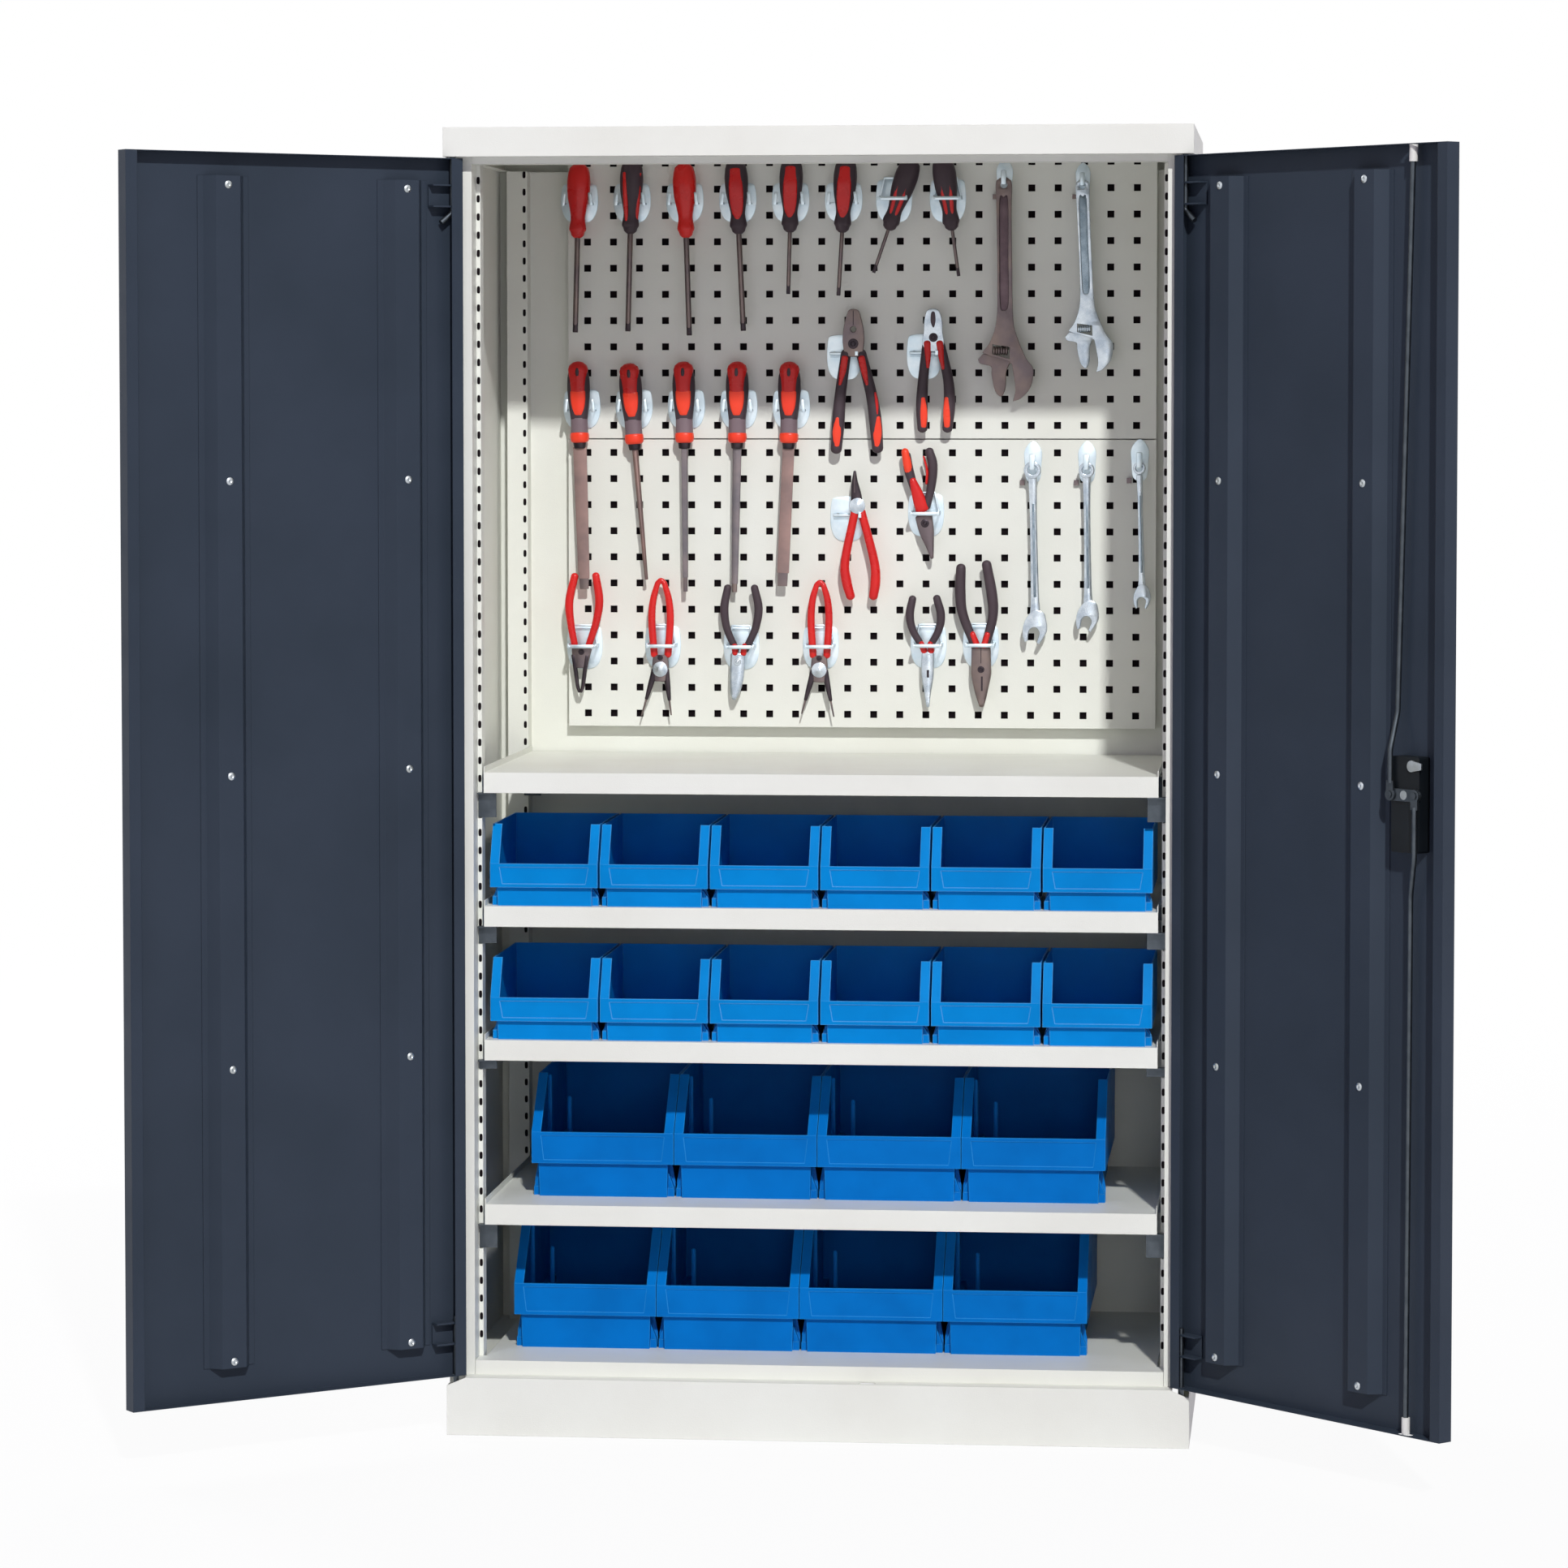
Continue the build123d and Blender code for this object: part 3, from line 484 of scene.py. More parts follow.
def set_surround():
    """A dim violet-grey surround that is seen as white."""
    scene.world = bpy.data.worlds.new("studio")
    scene.world.use_nodes = True
    air = Tree(scene.world.node_tree)
    air.made.nodes.clear()
    lighting = air.node("ShaderNodeBackground", {}, {"Color": (0.145, 0.118, 0.2, 1.0)})
    white = air.node("ShaderNodeBackground", {}, {"Color": (1.0, 1.0, 1.0, 1.0)})
    shown = air.node("ShaderNodeMixShader", {}, {0: background_rays(air), 1: lighting, 2: white})
    air.node("ShaderNodeOutputWorld", {}, {"Surface": shown})


def lay_floor():
    """A pale floor that keeps the cabinet's shadow and turns white farther off."""
    pale = Finish("studio floor")
    lit = pale.node("ShaderNodeBsdfDiffuse", {}, {"Color": (0.80, 0.80, 0.80, 1.0)})
    white = pale.node("ShaderNodeEmission", {}, {"Color": (1.0, 1.0, 1.0, 1.0)})
    away = pale.node("ShaderNodeVectorMath", {"operation": "LENGTH"}, {0: pale.place}, "Value")
    seen = background_rays(pale) * pale.spread(away, 1.5, 7.0, 0.94, 1.0)
    shown = pale.node("ShaderNodeMixShader", {}, {0: seen, 1: lit, 2: white})
    pale.node("ShaderNodeOutputMaterial", {}, {"Surface": shown})
    ground = bmesh.new()
    bmesh.ops.create_grid(ground, x_segments=1, y_segments=1, size=100)
    mesh = bpy.data.meshes.new("studio floor")
    ground.to_mesh(mesh)
    ground.free()
    mesh.materials.append(pale.material)
    floor = bpy.data.objects.new("studio_floor", mesh)
    scene.collection.objects.link(floor)


def hang_lamp(name, power, size, place, aim, spread=180.0):
    """A square lamp turned to a height on the cabinet's middle line, its beam so many degrees."""
    lamp = bpy.data.lights.new(name, "AREA")
    lamp.energy, lamp.size, lamp.spread = power, size, radians(spread)
    light = bpy.data.objects.new(name, lamp)
    light.location = place
    beam = Vector((0.0, 0.0, aim)) - Vector(place)
    light.rotation_euler = beam.to_track_quat("-Z", "Y").to_euler()
    scene.collection.objects.link(light)


scene.view_settings.view_transform = "Standard"
set_camera(place=(0.6813, -7.5802, 1.4286), tilt=-0.0527, turn=0.0989, lens=123.74, shift=-0.0637)
set_surround()
lay_floor()
hang_lamp("key", 3150.0, 0.60, (4.07, -16.56, 13.38), 0.9)
hang_lamp("fill", 6.0, 3.0, (-3.6, -4.6, 2.4), 0.9)
hang_lamp("low", 0.3, 1.0, (0.6, -5.0, 0.9), 0.3, spread=24.0)
hang_lamp("rear left", 330.0, 2.0, (-5.0, 5.5, 4.5), 0.9)
hang_lamp("rear right", 220.0, 2.0, (0.6, 8.0, 4.0), 0.9)


# ---------------------------------------------------------------- the tool wall
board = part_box("upper_pegboard")[0].y / MM  # the boards' front
middle = board - 20.0  # of the hand tools' thickness
LOWERED = -3.6  # all that hangs on the wall, from the heights it is drawn at

looks = {
    "red": (finishes["tool_red"], "tool_red"),
    "orange": (orange_inlay, "tool_red"),
    "grip": (finishes["tool_grip"], "tool_grip"),
    "steel": (finishes["tool_steel"], "tool_steel"),
    "blackened": (burnt_steel, "tool_steel"),
    "cut": (file_face, "tool_steel"),
    "grey_cut": (grey_file_face, "tool_steel"),
    "neck": (pale_grip, "tool_grip"),
    "chrome": (finishes["chrome"], "chrome"),
    "recess": (chrome_with_painted_shade, "chrome"),
    "panel": (steel_with_painted_shade, "tool_steel"),
    "holder": (holder_zinc, "zinc"),
}


class Kit:
    """Hand tools or holders of one kind, with a shape under way for each of their looks."""

    def __init__(self, name):
        self.name, self.shapes = name, {}

    def __getitem__(self, look):
        if look not in self.shapes:
            self.shapes[look] = bmesh.new()
        return self.shapes[look]

    def bar(self, look, stations, *size, **form):
        """A limb about the tools' middle."""
        limb(self[look], stations, middle, *size, **form)

    def plate(self, look, outlines, thickness, rounding, forward=0.0):
        """A flat part about the tools' middle, or so far in front of it."""
        flat(self[look], outlines, middle - forward, thickness, rounding)

    def strip(self, look, x, z, forward):
        """A block between two values of x and of z, from the tools' middle to the front."""
        slab(self[look], (x[0], middle - forward, z[0]), (x[1], middle, z[1]))

    def pivot(self, look, x, z, radius, forward):
        """A joint's round boss with a domed rivet."""
        profile = ((0.0, radius), (1.2, radius), (1.6, radius * 0.9), (1.6, radius * 0.5),
                   (2.6, radius * 0.35))
        turned(self[look], profile, (x, middle - forward, z), (0, -1, 0))

    def grips(self, look, width, *paths):
        """A tool's grips, each through four points (x, z) from its end to the joint."""
        for path in paths:
            swell = [1.0, 1.12, 1.0, 0.9]
            stations = [(x, z, width * w) for (x, z), w in zip(path, swell)]
            self.bar(look, stations, 0.85, around=14, steps=5)

    def hang(self):
        """Turns the shapes into pieces on the cabinet."""
        for look, shape in self.shapes.items():
            bmesh.ops.translate(shape, vec=(0, 0, LOWERED), verts=shape.verts)
            finish, slot = looks[look]
            piece(f"{self.name}_{look}", shape, finish, "cabinet")


class Line:
    """A tool's own axis in the wall's plane, from one point (x, z) to another."""

    def __init__(self, start, end):
        self.start, self.length = Vector(start), (Vector(end) - Vector(start)).length
        self.ahead = (Vector(end) - Vector(start)) / self.length
        self.right = Vector((-self.ahead.y, self.ahead.x))

    def at(self, reach, aside=0.0):
        """The point so far along the axis and so far to its side."""
        point = self.start + self.ahead * reach + self.right * aside
        return point.x, point.y

    def stations(self, *entries):
        """Stations for a limb from entries (reach, width, ...)."""
        return [(*self.at(reach), *rest) for reach, *rest in entries]

    def points(self, corners, size=1.0):
        """An outline's corners (aside, reach) set on this axis, at a size."""
        return [(*self.at(z * size, x * size), *sharp) for x, z, *sharp in corners]


def swung(top, turn):
    """The axis of a tool that hangs from a point (x, z), turned by so many degrees."""
    return Line(top, (top[0] + sin(radians(turn)), top[1] - cos(radians(turn))))


def screwdrivers():
    """The eight in the top row, blades down."""
    grip = ((0, 21), (5, 25), (20, 21), (36, 26), (52, 32), (72, 34), (86, 31))
    front = ((14, 8, 5, 8.0), (24, 16, 6, 8.2), (42, 20, 6, 11.2), (62, 20, 6, 13.2),
             (84, 16, 6, 12.2))
    strips = {  # each one's side, and how far aside and forward it lies
        "sides": ((-1, 11.5, 2.0), (1, 8.0, 6.5)),
        "strips": ((-1, 6.5, 5.0), (1, 6.5, 5.0)),
    }
    kit = Kit("screwdrivers")
    for collar, tip, shank, style in (
        ((-390.7, 1675.0), (-394.5, 1529.0), 8.0, "red"),
        ((-313.6, 1681.0), (-317.5, 1530.5), 8.0, "sides"),
        ((-232.5, 1675.0), (-227.7, 1524.5), 8.0, "red"),
        ((-156.0, 1680.0), (-149.0, 1531.0), 8.0, "front"),
        ((-81.3, 1682.5), (-83.8, 1584.0), 6.0, "front"),
        ((-5.2, 1682.0), (-11.0, 1581.6), 6.0, "front"),
        ((63.9, 1685.0), (39.7, 1614.4), 5.0, "strips"),
        ((152.4, 1684.7), (163.2, 1609.2), 5.0, "strips"),
    ):
        down = Line(collar, tip)
        up = Line(collar, down.at(-100.0))
        kit.bar("red" if style == "red" else "grip", up.stations(*grip), square=2.6, around=16)
        if style == "front":
            kit.bar("red", up.stations(*front))
        for way, aside, forward in strips.get(style, ()):
            strip = Line(up.at(10, way * (aside - 3)), up.at(80, way * (aside + 1)))
            inlay = ((0, 5, 8, forward), (20, 7, 9, forward + 2), (45, 8, 12, forward + 3),
                     (68, 6, 12, forward + 3))
            kit.bar("red", strip.stations(*inlay))
        neck, point = down.length - 14, down.length - 1
        bar = ((-6, shank), (neck, shank))
        kit.bar("steel", down.stations(*bar), thick=1.0, square=2, steps=1)
        blade = ((neck - 1, shank * 0.98), (neck + 4, shank * 0.96), (neck + 10, shank),
                 (point, shank * 0.95, 1.6))
        kit.bar("blackened", down.stations(*blade), thick=0.8, square=3, blunt=1.0)
    kit.hang()


def files():
    """The five in the second row, blades down."""
    grip = ((13, 27, 22), (24, 32, 24), (44, 33, 25), (68, 28.5, 23), (84, 25, 21))
    face = ((12, 29.5, 23, 1.2), (22, 27, 20, 3.4), (34, 24.5, 18, 4.8), (44, 23.5, 16, 5.6))
    lens = ((44, 22, 6, 10.4), (56, 21.5, 6, 10.4), (68, 18, 6, 9.8), (77, 12, 6, 8.9))
    neck = ((83, 25, 21.6), (94, 25, 21.6), (104, 25.4, 21.6))
    ring = ((105, 27, 24), (111, 28, 25), (116, 26, 23))
    hanging_hole_shade = ((11, 4, 2, 11.9), (16, 5.5, 2, 12.7), (21, 4, 2, 13.2))
    blades = {  # width, thickness, squareness, share of the width at the end, bare end, look
        "flat": (20.0, 5.0, 9.0, 0.82, 15, "cut"),
        "round": (9.0, 9.0, 2.0, 0.55, 2, "cut"),
        "square": (9.0, 9.0, 9.0, 0.8, 20, "grey_cut"),
        "half round": (13.0, 5.5, 3.0, 0.72, 12, "grey_cut"),
        "broad": (17.5, 5.0, 9.0, 1.0, 19, "cut"),
    }
    kit = Kit("files")
    for top, collar, end, blade in (
        ((-390.6, 1488.5), (-388.3, 1376.8), (-381.9, 1157.6), "flat"),
        ((-316.0, 1486.0), (-308.4, 1374.5), (-290.6, 1169.6), "round"),
        ((-236.3, 1488.4), (-235.0, 1376.9), (-233.6, 1154.6), "square"),
        ((-158.0, 1488.3), (-158.0, 1375.8), (-162.1, 1153.7), "half round"),
        ((-81.7, 1488.1), (-82.9, 1376.6), (-92.3, 1162.7), "broad"),
    ):
        width, thick, square, taper, bare_end, look = blades[blade]
        down = Line(top, collar)
        kit.bar("grip", down.stations(*grip), square=2.5, around=16)
        kit.bar("red", down.stations(*face), square=2.6, around=16)
        kit.bar("orange", down.stations(*lens), blunt=0.3)
        kit.bar("neck", down.stations(*neck), blunt=1, around=16)
        kit.bar("orange", down.stations(*ring), blunt=0.8, around=16)
        # A dark oval in the handle's face paints the shade seen in the hanging hole.
        kit.bar("blackened", down.stations(*hanging_hole_shade))
        tail = Line(down.at(117), end)
        kit.bar("blackened", tail.stations((-1, 20, 17), (9, 17, 14)), blunt=1, around=16)
        far = tail.length - bare_end
        cut = ((8, width, thick), (far * 0.6, width * (1 + taper) / 2, thick),
               (far, width * taper, thick * 0.9))
        kit.bar(look, tail.stations(*cut), square=square, steps=3, blunt=1)
        if blade != "round":
            bare = ((far - 1, width * taper * 0.84, thick * 0.8),
                    (tail.length, width * taper * 0.8, thick * 0.7))
            kit.bar("steel", tail.stations(*bare), square=square, steps=1, blunt=1)
    kit.hang()


def combination_pliers(kit):
    """The largest of the upper pliers, jaws up."""
    kit.grips("grip", 16.5, ((-14, 1361), (-11, 1400), (-8, 1440), (0, 1499)),
              ((46, 1362), (43, 1400), (37, 1440), (22, 1499)))
    head = ((5, 1562), (17, 1562), (22, 1550), (26, 1530), (26, 1511), (21, 1496), (1, 1496),
            (-4, 1511), (-4, 1530), (0, 1550))
    kit.plate("steel", [outline(head), circle(11, 1534, 4.2, 12)], 11.0, 1.2)
    # A dark strip paints the shade in the slit between the jaws.
    kit.strip("blackened", (10.5, 11.5), (1540, 1561), 5.9)
    kit.pivot("blackened", 11, 1513, 7.5, 5.5)
    for path in (((-1, 1493), (-4, 1474), (-8, 1455)), ((23, 1493), (27, 1474), (31, 1455))):
        kit.bar("red", [(x, z, w, 7, 4.5) for (x, z), w in zip(path, (10, 10, 5))])
    kit.bar("red", [(43, 1442, 3, 6, 4.6), (45, 1428, 5, 6, 4.6), (46, 1412, 3, 6, 4.6)])
    for x in (-12.5, 46):
        inlay = [(x + 1, 1406, 7, 6, 5.0), (x, 1386, 13, 6, 5.2), (x - 0.5, 1366, 9, 6, 4.4)]
        kit.bar("orange", inlay)


def diagonal_cutters(kit):
    """The pair beside them, with a pale head."""
    kit.grips("grip", 15.0, ((111, 1391), (110, 1425), (112, 1462), (117, 1510)),
              ((147, 1391), (150, 1425), (148, 1462), (137, 1510)))
    head = ((119, 1562), (133, 1562), (139, 1548), (140, 1530), (142, 1512), (134, 1503),
            (119, 1503), (111, 1512), (113, 1530), (114, 1548))
    gap = ((124, 1558), (129, 1558), (130, 1545), (127, 1536), (123, 1545))
    kit.plate("chrome", [outline(head)], 11.0, 1.2)
    # A dark plate paints the shade in the gap between the cutting jaws.
    kit.plate("blackened", [outline(gap)], 1.6, 0.3, forward=5.2)
    kit.pivot("blackened", 127, 1522, 6.5, 5.5)
    for path in (((118, 1514), (119, 1497), (119, 1480)), ((136, 1514), (138, 1497), (141, 1478))):
        kit.bar("red", [(x, z, w, 8, 4.0) for (x, z), w in zip(path, (11, 9, 5))])
    for x in (112.5, 147):
        kit.bar("orange", [(x - 0.5, 1434, 7, 6, 4.6), (x, 1413, 12, 6, 4.6), (x, 1394, 9, 6, 4.0)])


def needle_nose_pliers(kit):
    """The red pair on a pronged holder, jaws up."""
    kit.grips("red", 13.0, ((7, 1148), (1, 1170), (-1, 1200), (13, 1270)),
              ((40, 1148), (43, 1170), (41, 1200), (23, 1270)))
    jaws = [(17, 1272, 20), (15, 1296, 15), (13, 1314, 9), (13, 1328, 4)]
    kit.bar("blackened", jaws, 9.0, 4)
    kit.strip("steel", (12.6, 13.4), (1298, 1326), 4.9)
    kit.pivot("chrome", 17, 1279, 11.5, 3.6)


def raised_pliers(kit):
    """The pair above the bottom row, grips up, in three colours."""
    kit.grips("grip", 12.5, ((88, 1352), (91, 1332), (98, 1308), (108, 1278)),
              ((121, 1358), (126, 1338), (124, 1308), (117, 1278)))
    kit.bar("orange", [(86, 1357, 11, 11, 1.0), (89, 1342, 13, 11, 1.5), (91, 1330, 12, 10, 1.5)])
    kit.bar("red", [(97, 1316, 10, 10, 2.0), (104, 1296, 17, 10, 2.5), (111, 1274, 20, 9, 2.5)])
    kit.bar("red", [(113, 1350, 3, 8, 3.0), (118, 1330, 4, 8, 3.2), (117, 1312, 4, 8, 3.0)])
    jaws = [(113, 1264, 25), (117, 1243, 22), (122, 1221, 12), (125, 1205, 5)]
    kit.bar("steel", jaws, 9.0, 4)
    kit.pivot("blackened", 115, 1254, 6.0, 3.6)


def long_jawed_pliers(kit):
    """The first of the bottom row: red grips, a brown head and dark jaws."""
    kit.grips("red", 11.0, ((-396, 1176), (-404, 1140), (-402, 1108), (-396, 1074)),
              ((-365, 1177), (-360, 1140), (-365, 1108), (-376, 1074)))
    head = [(-386, 1071, 30), (-387, 1058, 26), (-387.5, 1043, 20)]
    kit.bar("steel", head, 9.0, 4, blunt=0.9)
    for way in (-1, 1):
        jaw = ((10, 1060, 6), (6.5, 1036, 6), (4, 1016, 5), (1.5, 1008, 4))
        kit.bar("blackened", [(way * aside - 388, z, w) for aside, z, w in jaw], 9.4, 4)
    kit.pivot("blackened", -386, 1066, 4.5, 3.8)


def circlip_pliers(kit, x, apex, side, *tips):
    """Red pliers bowed about x below an apex, with a thin pin at each tip."""
    bow = [(x - 5, apex - 4, 8), (x, apex, 8), (x + 5, apex - 4, 8)]
    kit.bar("red", bow, 0.85)
    for way, tip in zip((-1, 1), tips):
        path = ((x + way * 5, apex - 4), (x + way * side * 0.85, 1142), (x + way * side, 1112),
                (x + way * 10, 1062))
        widths = (8, 10, 11, 10.5)
        kit.bar("red", [(px, pz, w) for (px, pz), w in zip(path, widths)], 0.85, steps=5)
        near = Line((x - 1 + way * 8, 1040), tip)
        pin = ((42, 3.2), (near.length, 2.2))
        kit.bar("blackened", near.stations((0, 10), (24, 8), (44, 5)), 6.0, 3.5, blunt=0.6)
        kit.bar("steel", near.stations(*pin), thick=1.0, square=2, steps=1)
    head = [(x - 1, 1061, 22), (x - 1, 1044, 24), (x - 1, 1024, 17)]
    kit.bar("steel", head, 7.0, 4, blunt=0.8)
    kit.pivot("chrome", x - 1, 1041, 11.0, 3.4)
    kit.pivot("blackened", x - 1, 1058, 4.0, 3.2)


def pale_headed_pliers(kit):
    """The pair between the circlip pliers."""
    kit.grips("grip", 11.0, ((-172, 1160), (-177, 1130), (-173, 1100), (-160, 1070)),
              ((-133, 1160), (-127, 1130), (-132, 1100), (-146, 1070)))
    kit.bar("red", [(-162, 1075, 9, 10, 1.5), (-161, 1065, 9, 10, 1.5)])
    kit.bar("red", [(-147, 1075, 9, 10, 1.5), (-149, 1065, 9, 10, 1.5)])
    head = [(-157.5, 1063, 21), (-158, 1042, 21.5), (-159.5, 1022, 19), (-161.5, 1007, 13),
            (-162.5, 1000, 7)]
    kit.bar("chrome", head, 9.0, 4)
    kit.pivot("chrome", -157.5, 1052, 5.0, 3.8)


def long_nose_pliers(kit):
    """The pair with a long pale nose."""
    kit.grips("grip", 11.0, ((97, 1145), (93, 1122), (97, 1100), (111, 1076)),
              ((132, 1146), (138, 1122), (135, 1100), (122, 1076)))
    kit.bar("red", [(110, 1080, 8, 10, 1.5), (114, 1070, 10, 10, 1.5)])
    kit.bar("red", [(123, 1080, 8, 10, 1.5), (124, 1070, 10, 10, 1.5)])
    head = [(119.5, 1066, 18), (119, 1046, 18.5), (119, 1030, 17), (119, 1008, 10),
            (119.5, 990, 5)]
    kit.bar("chrome", head, 9.0, 4)
    # A dark strip paints the shade in the gap below the joint.
    kit.strip("blackened", (118, 121.4), (1031, 1042), 4.7)


def broad_pliers(kit):
    """The last and largest of the bottom row."""
    kit.grips("grip", 14.0, ((167, 1190), (166, 1155), (170, 1122), (188, 1076)),
              ((204, 1195), (212, 1150), (213, 1118), (202, 1076)))
    kit.bar("red", [(184, 1094, 9, 12, 1.5), (190, 1078, 10, 12, 1.5)])
    kit.bar("red", [(206, 1094, 9, 12, 1.5), (201, 1078, 10, 12, 1.5)])
    head = [(196.5, 1073, 28), (196.5, 1050, 29), (196.5, 1036, 29.5), (196.5, 1017, 22),
            (197, 1001, 14), (197, 992, 8)]
    kit.bar("steel", head, 11.0, 4)
    # Dark strips paint the shade in the gaps below and above the joint.
    kit.strip("blackened", (196.6, 199.2), (1012, 1033), 5.8)
    kit.strip("blackened", (196, 197), (1052, 1076), 5.8)
    kit.pivot("blackened", 196.5, 1043, 5.0, 4.6)


def pliers():
    """Every pair on the boards."""
    kit = Kit("large_pliers")
    combination_pliers(kit)
    diagonal_cutters(kit)
    kit.hang()
    kit = Kit("small_pliers")
    needle_nose_pliers(kit)
    raised_pliers(kit)
    long_jawed_pliers(kit)
    circlip_pliers(kit, -269.5, 1170, 13.5, (-298, 974), (-255, 975))
    circlip_pliers(kit, -37.5, 1168, 13.0, (-64, 978), (-17.5, 974))
    pale_headed_pliers(kit)
    long_nose_pliers(kit)
    broad_pliers(kit)
    kit.hang()


def adjustable_wrench(kit, look, inlay, top, turn, size):
    """An adjustable wrench hung by its ring, its jaws down, measured from the ring's middle."""
    down = swung(top, turn)
    body = ((0, -11.5), (8, -8), (11.5, 0), (11, 41), (12, 121), (13.7, 193), (19.7, 219),
            (31.7, 248), (42, 262), (42.5, 276), (37.7, 293), (24.5, 307), (13.7, 311, 1),
            (17.3, 295), (14.9, 274), (12, 257, 1), (-30.7, 241, 1), (-18.7, 224), (-10, 193),
            (-9, 133), (-10.5, 41), (-11.5, 0), (-8, -8))
    jaw = ((-36.7, 251, 1), (-29, 242, 1), (10, 254, 1), (4, 269), (3, 291), (-3, 304),
           (-12, 296), (-17, 273), (-18, 261), (-33, 257))
    window = ((-16, 229, 1), (9, 233, 1), (9, 250, 1), (-16, 243, 1))
    panel = ((-6, 22), (0, 18), (6, 22), (6.5, 100), (7, 170), (0, 180), (-5, 170), (-6, 100))
    body, jaw, window, panel = (
        outline(down.points(corners, size)) for corners in (body, jaw, window, panel)
    )
    thick = 9.0 * size
    solid = [body, circle(*top, 5.2 * size, 16), window]
    kit.plate(look, solid, thick * 0.55, 0.5, forward=-thick * 0.1)
    kit.plate(look, [*solid, panel], thick * 0.3, 0.5, forward=thick * 0.3)
    # The thin plate in the recess takes a darker look, which paints the recess's shade.
    kit.plate(inlay, [panel], 0.8, 0.1, forward=thick * 0.19)
    kit.plate(look, [jaw], thick, 1.0)
    ridges = [(0.0, 4.6)]
    for n in range(6):
        ridges += [(3.6 * n + 0.6, 6.4), (3.6 * n + 2.2, 6.4), (3.6 * n + 3.2, 5.0)]
    x, z = down.at(238 * size, -15 * size)
    screw = [(along * size, radius * size) for along, radius in ridges]
    turned(kit[look], screw, (x, middle - 1, z), (down.right.x, 0, down.right.y), 14)


def combination_wrench(kit, ring, fork, turn, size):
    """A combination wrench hung by its ring, with its open end down."""
    shaft = Line(ring, fork)
    rim, hole = circle(*ring, 12.5 * size, 24), circle(*ring, 6.8 * size, 12)
    kit.plate("chrome", [rim, hole], 9.0, 1.0)
    long = shaft.length
    bar = ((10, 13 * size), (long * 0.3, 10.5 * size), (long * 0.8, 12 * size),
           (long - 12, 16 * size))
    kit.bar("chrome", shaft.stations(*bar), 5.2, 4, blunt=0.8)
    # The groove is drawn in the darker chrome, which paints its shade.
    groove = ((long * 0.22, 3.2 * size, 1.2, 2.5), (long * 0.82, 4.0 * size, 1.2, 2.5))
    kit.bar("recess", shaft.stations(*groove), square=4, steps=1)
    jaws = ((-7, -20), (7, -20), (14, -9), (18, 4), (15, 17), (11, 27, 1), (7, 25, 1), (8, 10),
            (0, 4), (-7, 10), (-6, 25, 1), (-10, 28, 1), (-15, 18), (-17, 4), (-14, -9))
    kit.plate("chrome", [outline(swung(fork, turn).points(jaws, size))], 7.0, 1.0)


def wrenches():
    """Two adjustable wrenches above three combination wrenches."""
    kit = Kit("wrenches")
    adjustable_wrench(kit, "steel", "panel", (228.0, 1741.0), 0.0, 1.0)
    adjustable_wrench(kit, "chrome", "recess", (341.0, 1739.0), 1.9, 0.86)
    combination_wrench(kit, (270.0, 1331.0), (275.0, 1108.0), -12.0, 1.0)
    combination_wrench(kit, (348.0, 1331.0), (351.0, 1124.0), -15.0, 0.92)
    combination_wrench(kit, (424.0, 1334.0), (428.5, 1151.0), -5.0, 0.72)
    kit.hang()


# ---------------------------------------------------------------- tool holders
SHEET = 1.6  # the holders' thickness


def rounded_plate(x, z, half, low, high):
    """A holder's plate: straight sides, round shoulders and a rounder foot."""
    corners = ((-half, high - 10), (-half, low + 18), (-half * 0.55, low), (half * 0.55, low),
               (half, low + 18), (half, high - 10), (half * 0.7, high), (-half * 0.7, high))
    return outline([(x + a, z + b) for a, b in corners])


def backing(kit, *outlines):
    """A holder's sheet against the board, cut to outlines."""
    flat(kit["holder"], outlines, board - SHEET / 2, SHEET, 0.4)


def wire(kit, start, end, forward, thick, blunt=0.0):
    """A holder's straight bar between two stations, so far in front of the board."""
    limb(kit["holder"], [start, end], board - forward, thick, 3, steps=1, blunt=blunt)


def spring_clip():
    """The clip that grips a round handle: a plate, a short ledge, two arms and two prongs."""
    shape = bmesh.new()
    flat(shape, [rounded_plate(0, 0, 26, -33, 22)], -SHEET / 2, SHEET, 0.4)
    slab(shape, (-21, -5, -8), (21, -SHEET / 2, -6.4))
    for way in (-1, 1):
        prong = [(way * 20.5, -10, 5), (way * 19.5, 0, 5), (way * 18.5, 8, 4.5)]
        limb(shape, prong, -29, 2.0, 4, steps=2, blunt=0.6)
        slab(shape, (way * 20 - 1, -29, -9), (way * 20 + 1, -SHEET / 2, -6.4))
    return shape_to_repeat("spring clip", shape)


def forked_holder(kit, x, z):
    """The holder for pliers hung by their joint: a round plate, a loop and a bar in front."""
    backing(kit, rounded_plate(x, z, 25, -32, 28))
    for way in (-1, 1):
        wire(kit, (x + way * 13, z + 30, 3.2), (x + way * 19, z + 3, 3.2), 10, 2.2)
        arm = x + way * 20
        slab(kit["holder"], (arm - 1.2, board - 32, z - 1.5), (arm + 1.2, board - SHEET / 2, z + 4))
    wire(kit, (x - 13, z + 30, 3.2), (x + 13, z + 30, 3.2), 10, 2.2)
    wire(kit, (x - 21, z, 5.5), (x + 21, z, 5.5), 32, 3.4, blunt=0.5)
    for way in (-1, 1):
        kit.pivot("holder", x + way * 19, z, 2.6, 13.5)


def pronged_holder(kit, x, z, reach):
    """The holder whose one prong carries pliers by their joint."""
    backing(kit, rounded_plate(x, z, 24, -33, 29), circle(x - 14, z + 4, 2.2, 10))
    wire(kit, (x - 20, z + 3, 4.4), (x + reach, z + 3, 4.4), 5, 4.0, blunt=0.5)
    wire(kit, (x - 20, z - 2, 1.6), (x + reach, z - 2, 1.6), 2.5, 2.0, blunt=0.5)
    slab(kit["holder"], (x + reach - 4, board - 30, z), (x + reach, board - 3, z + 6))


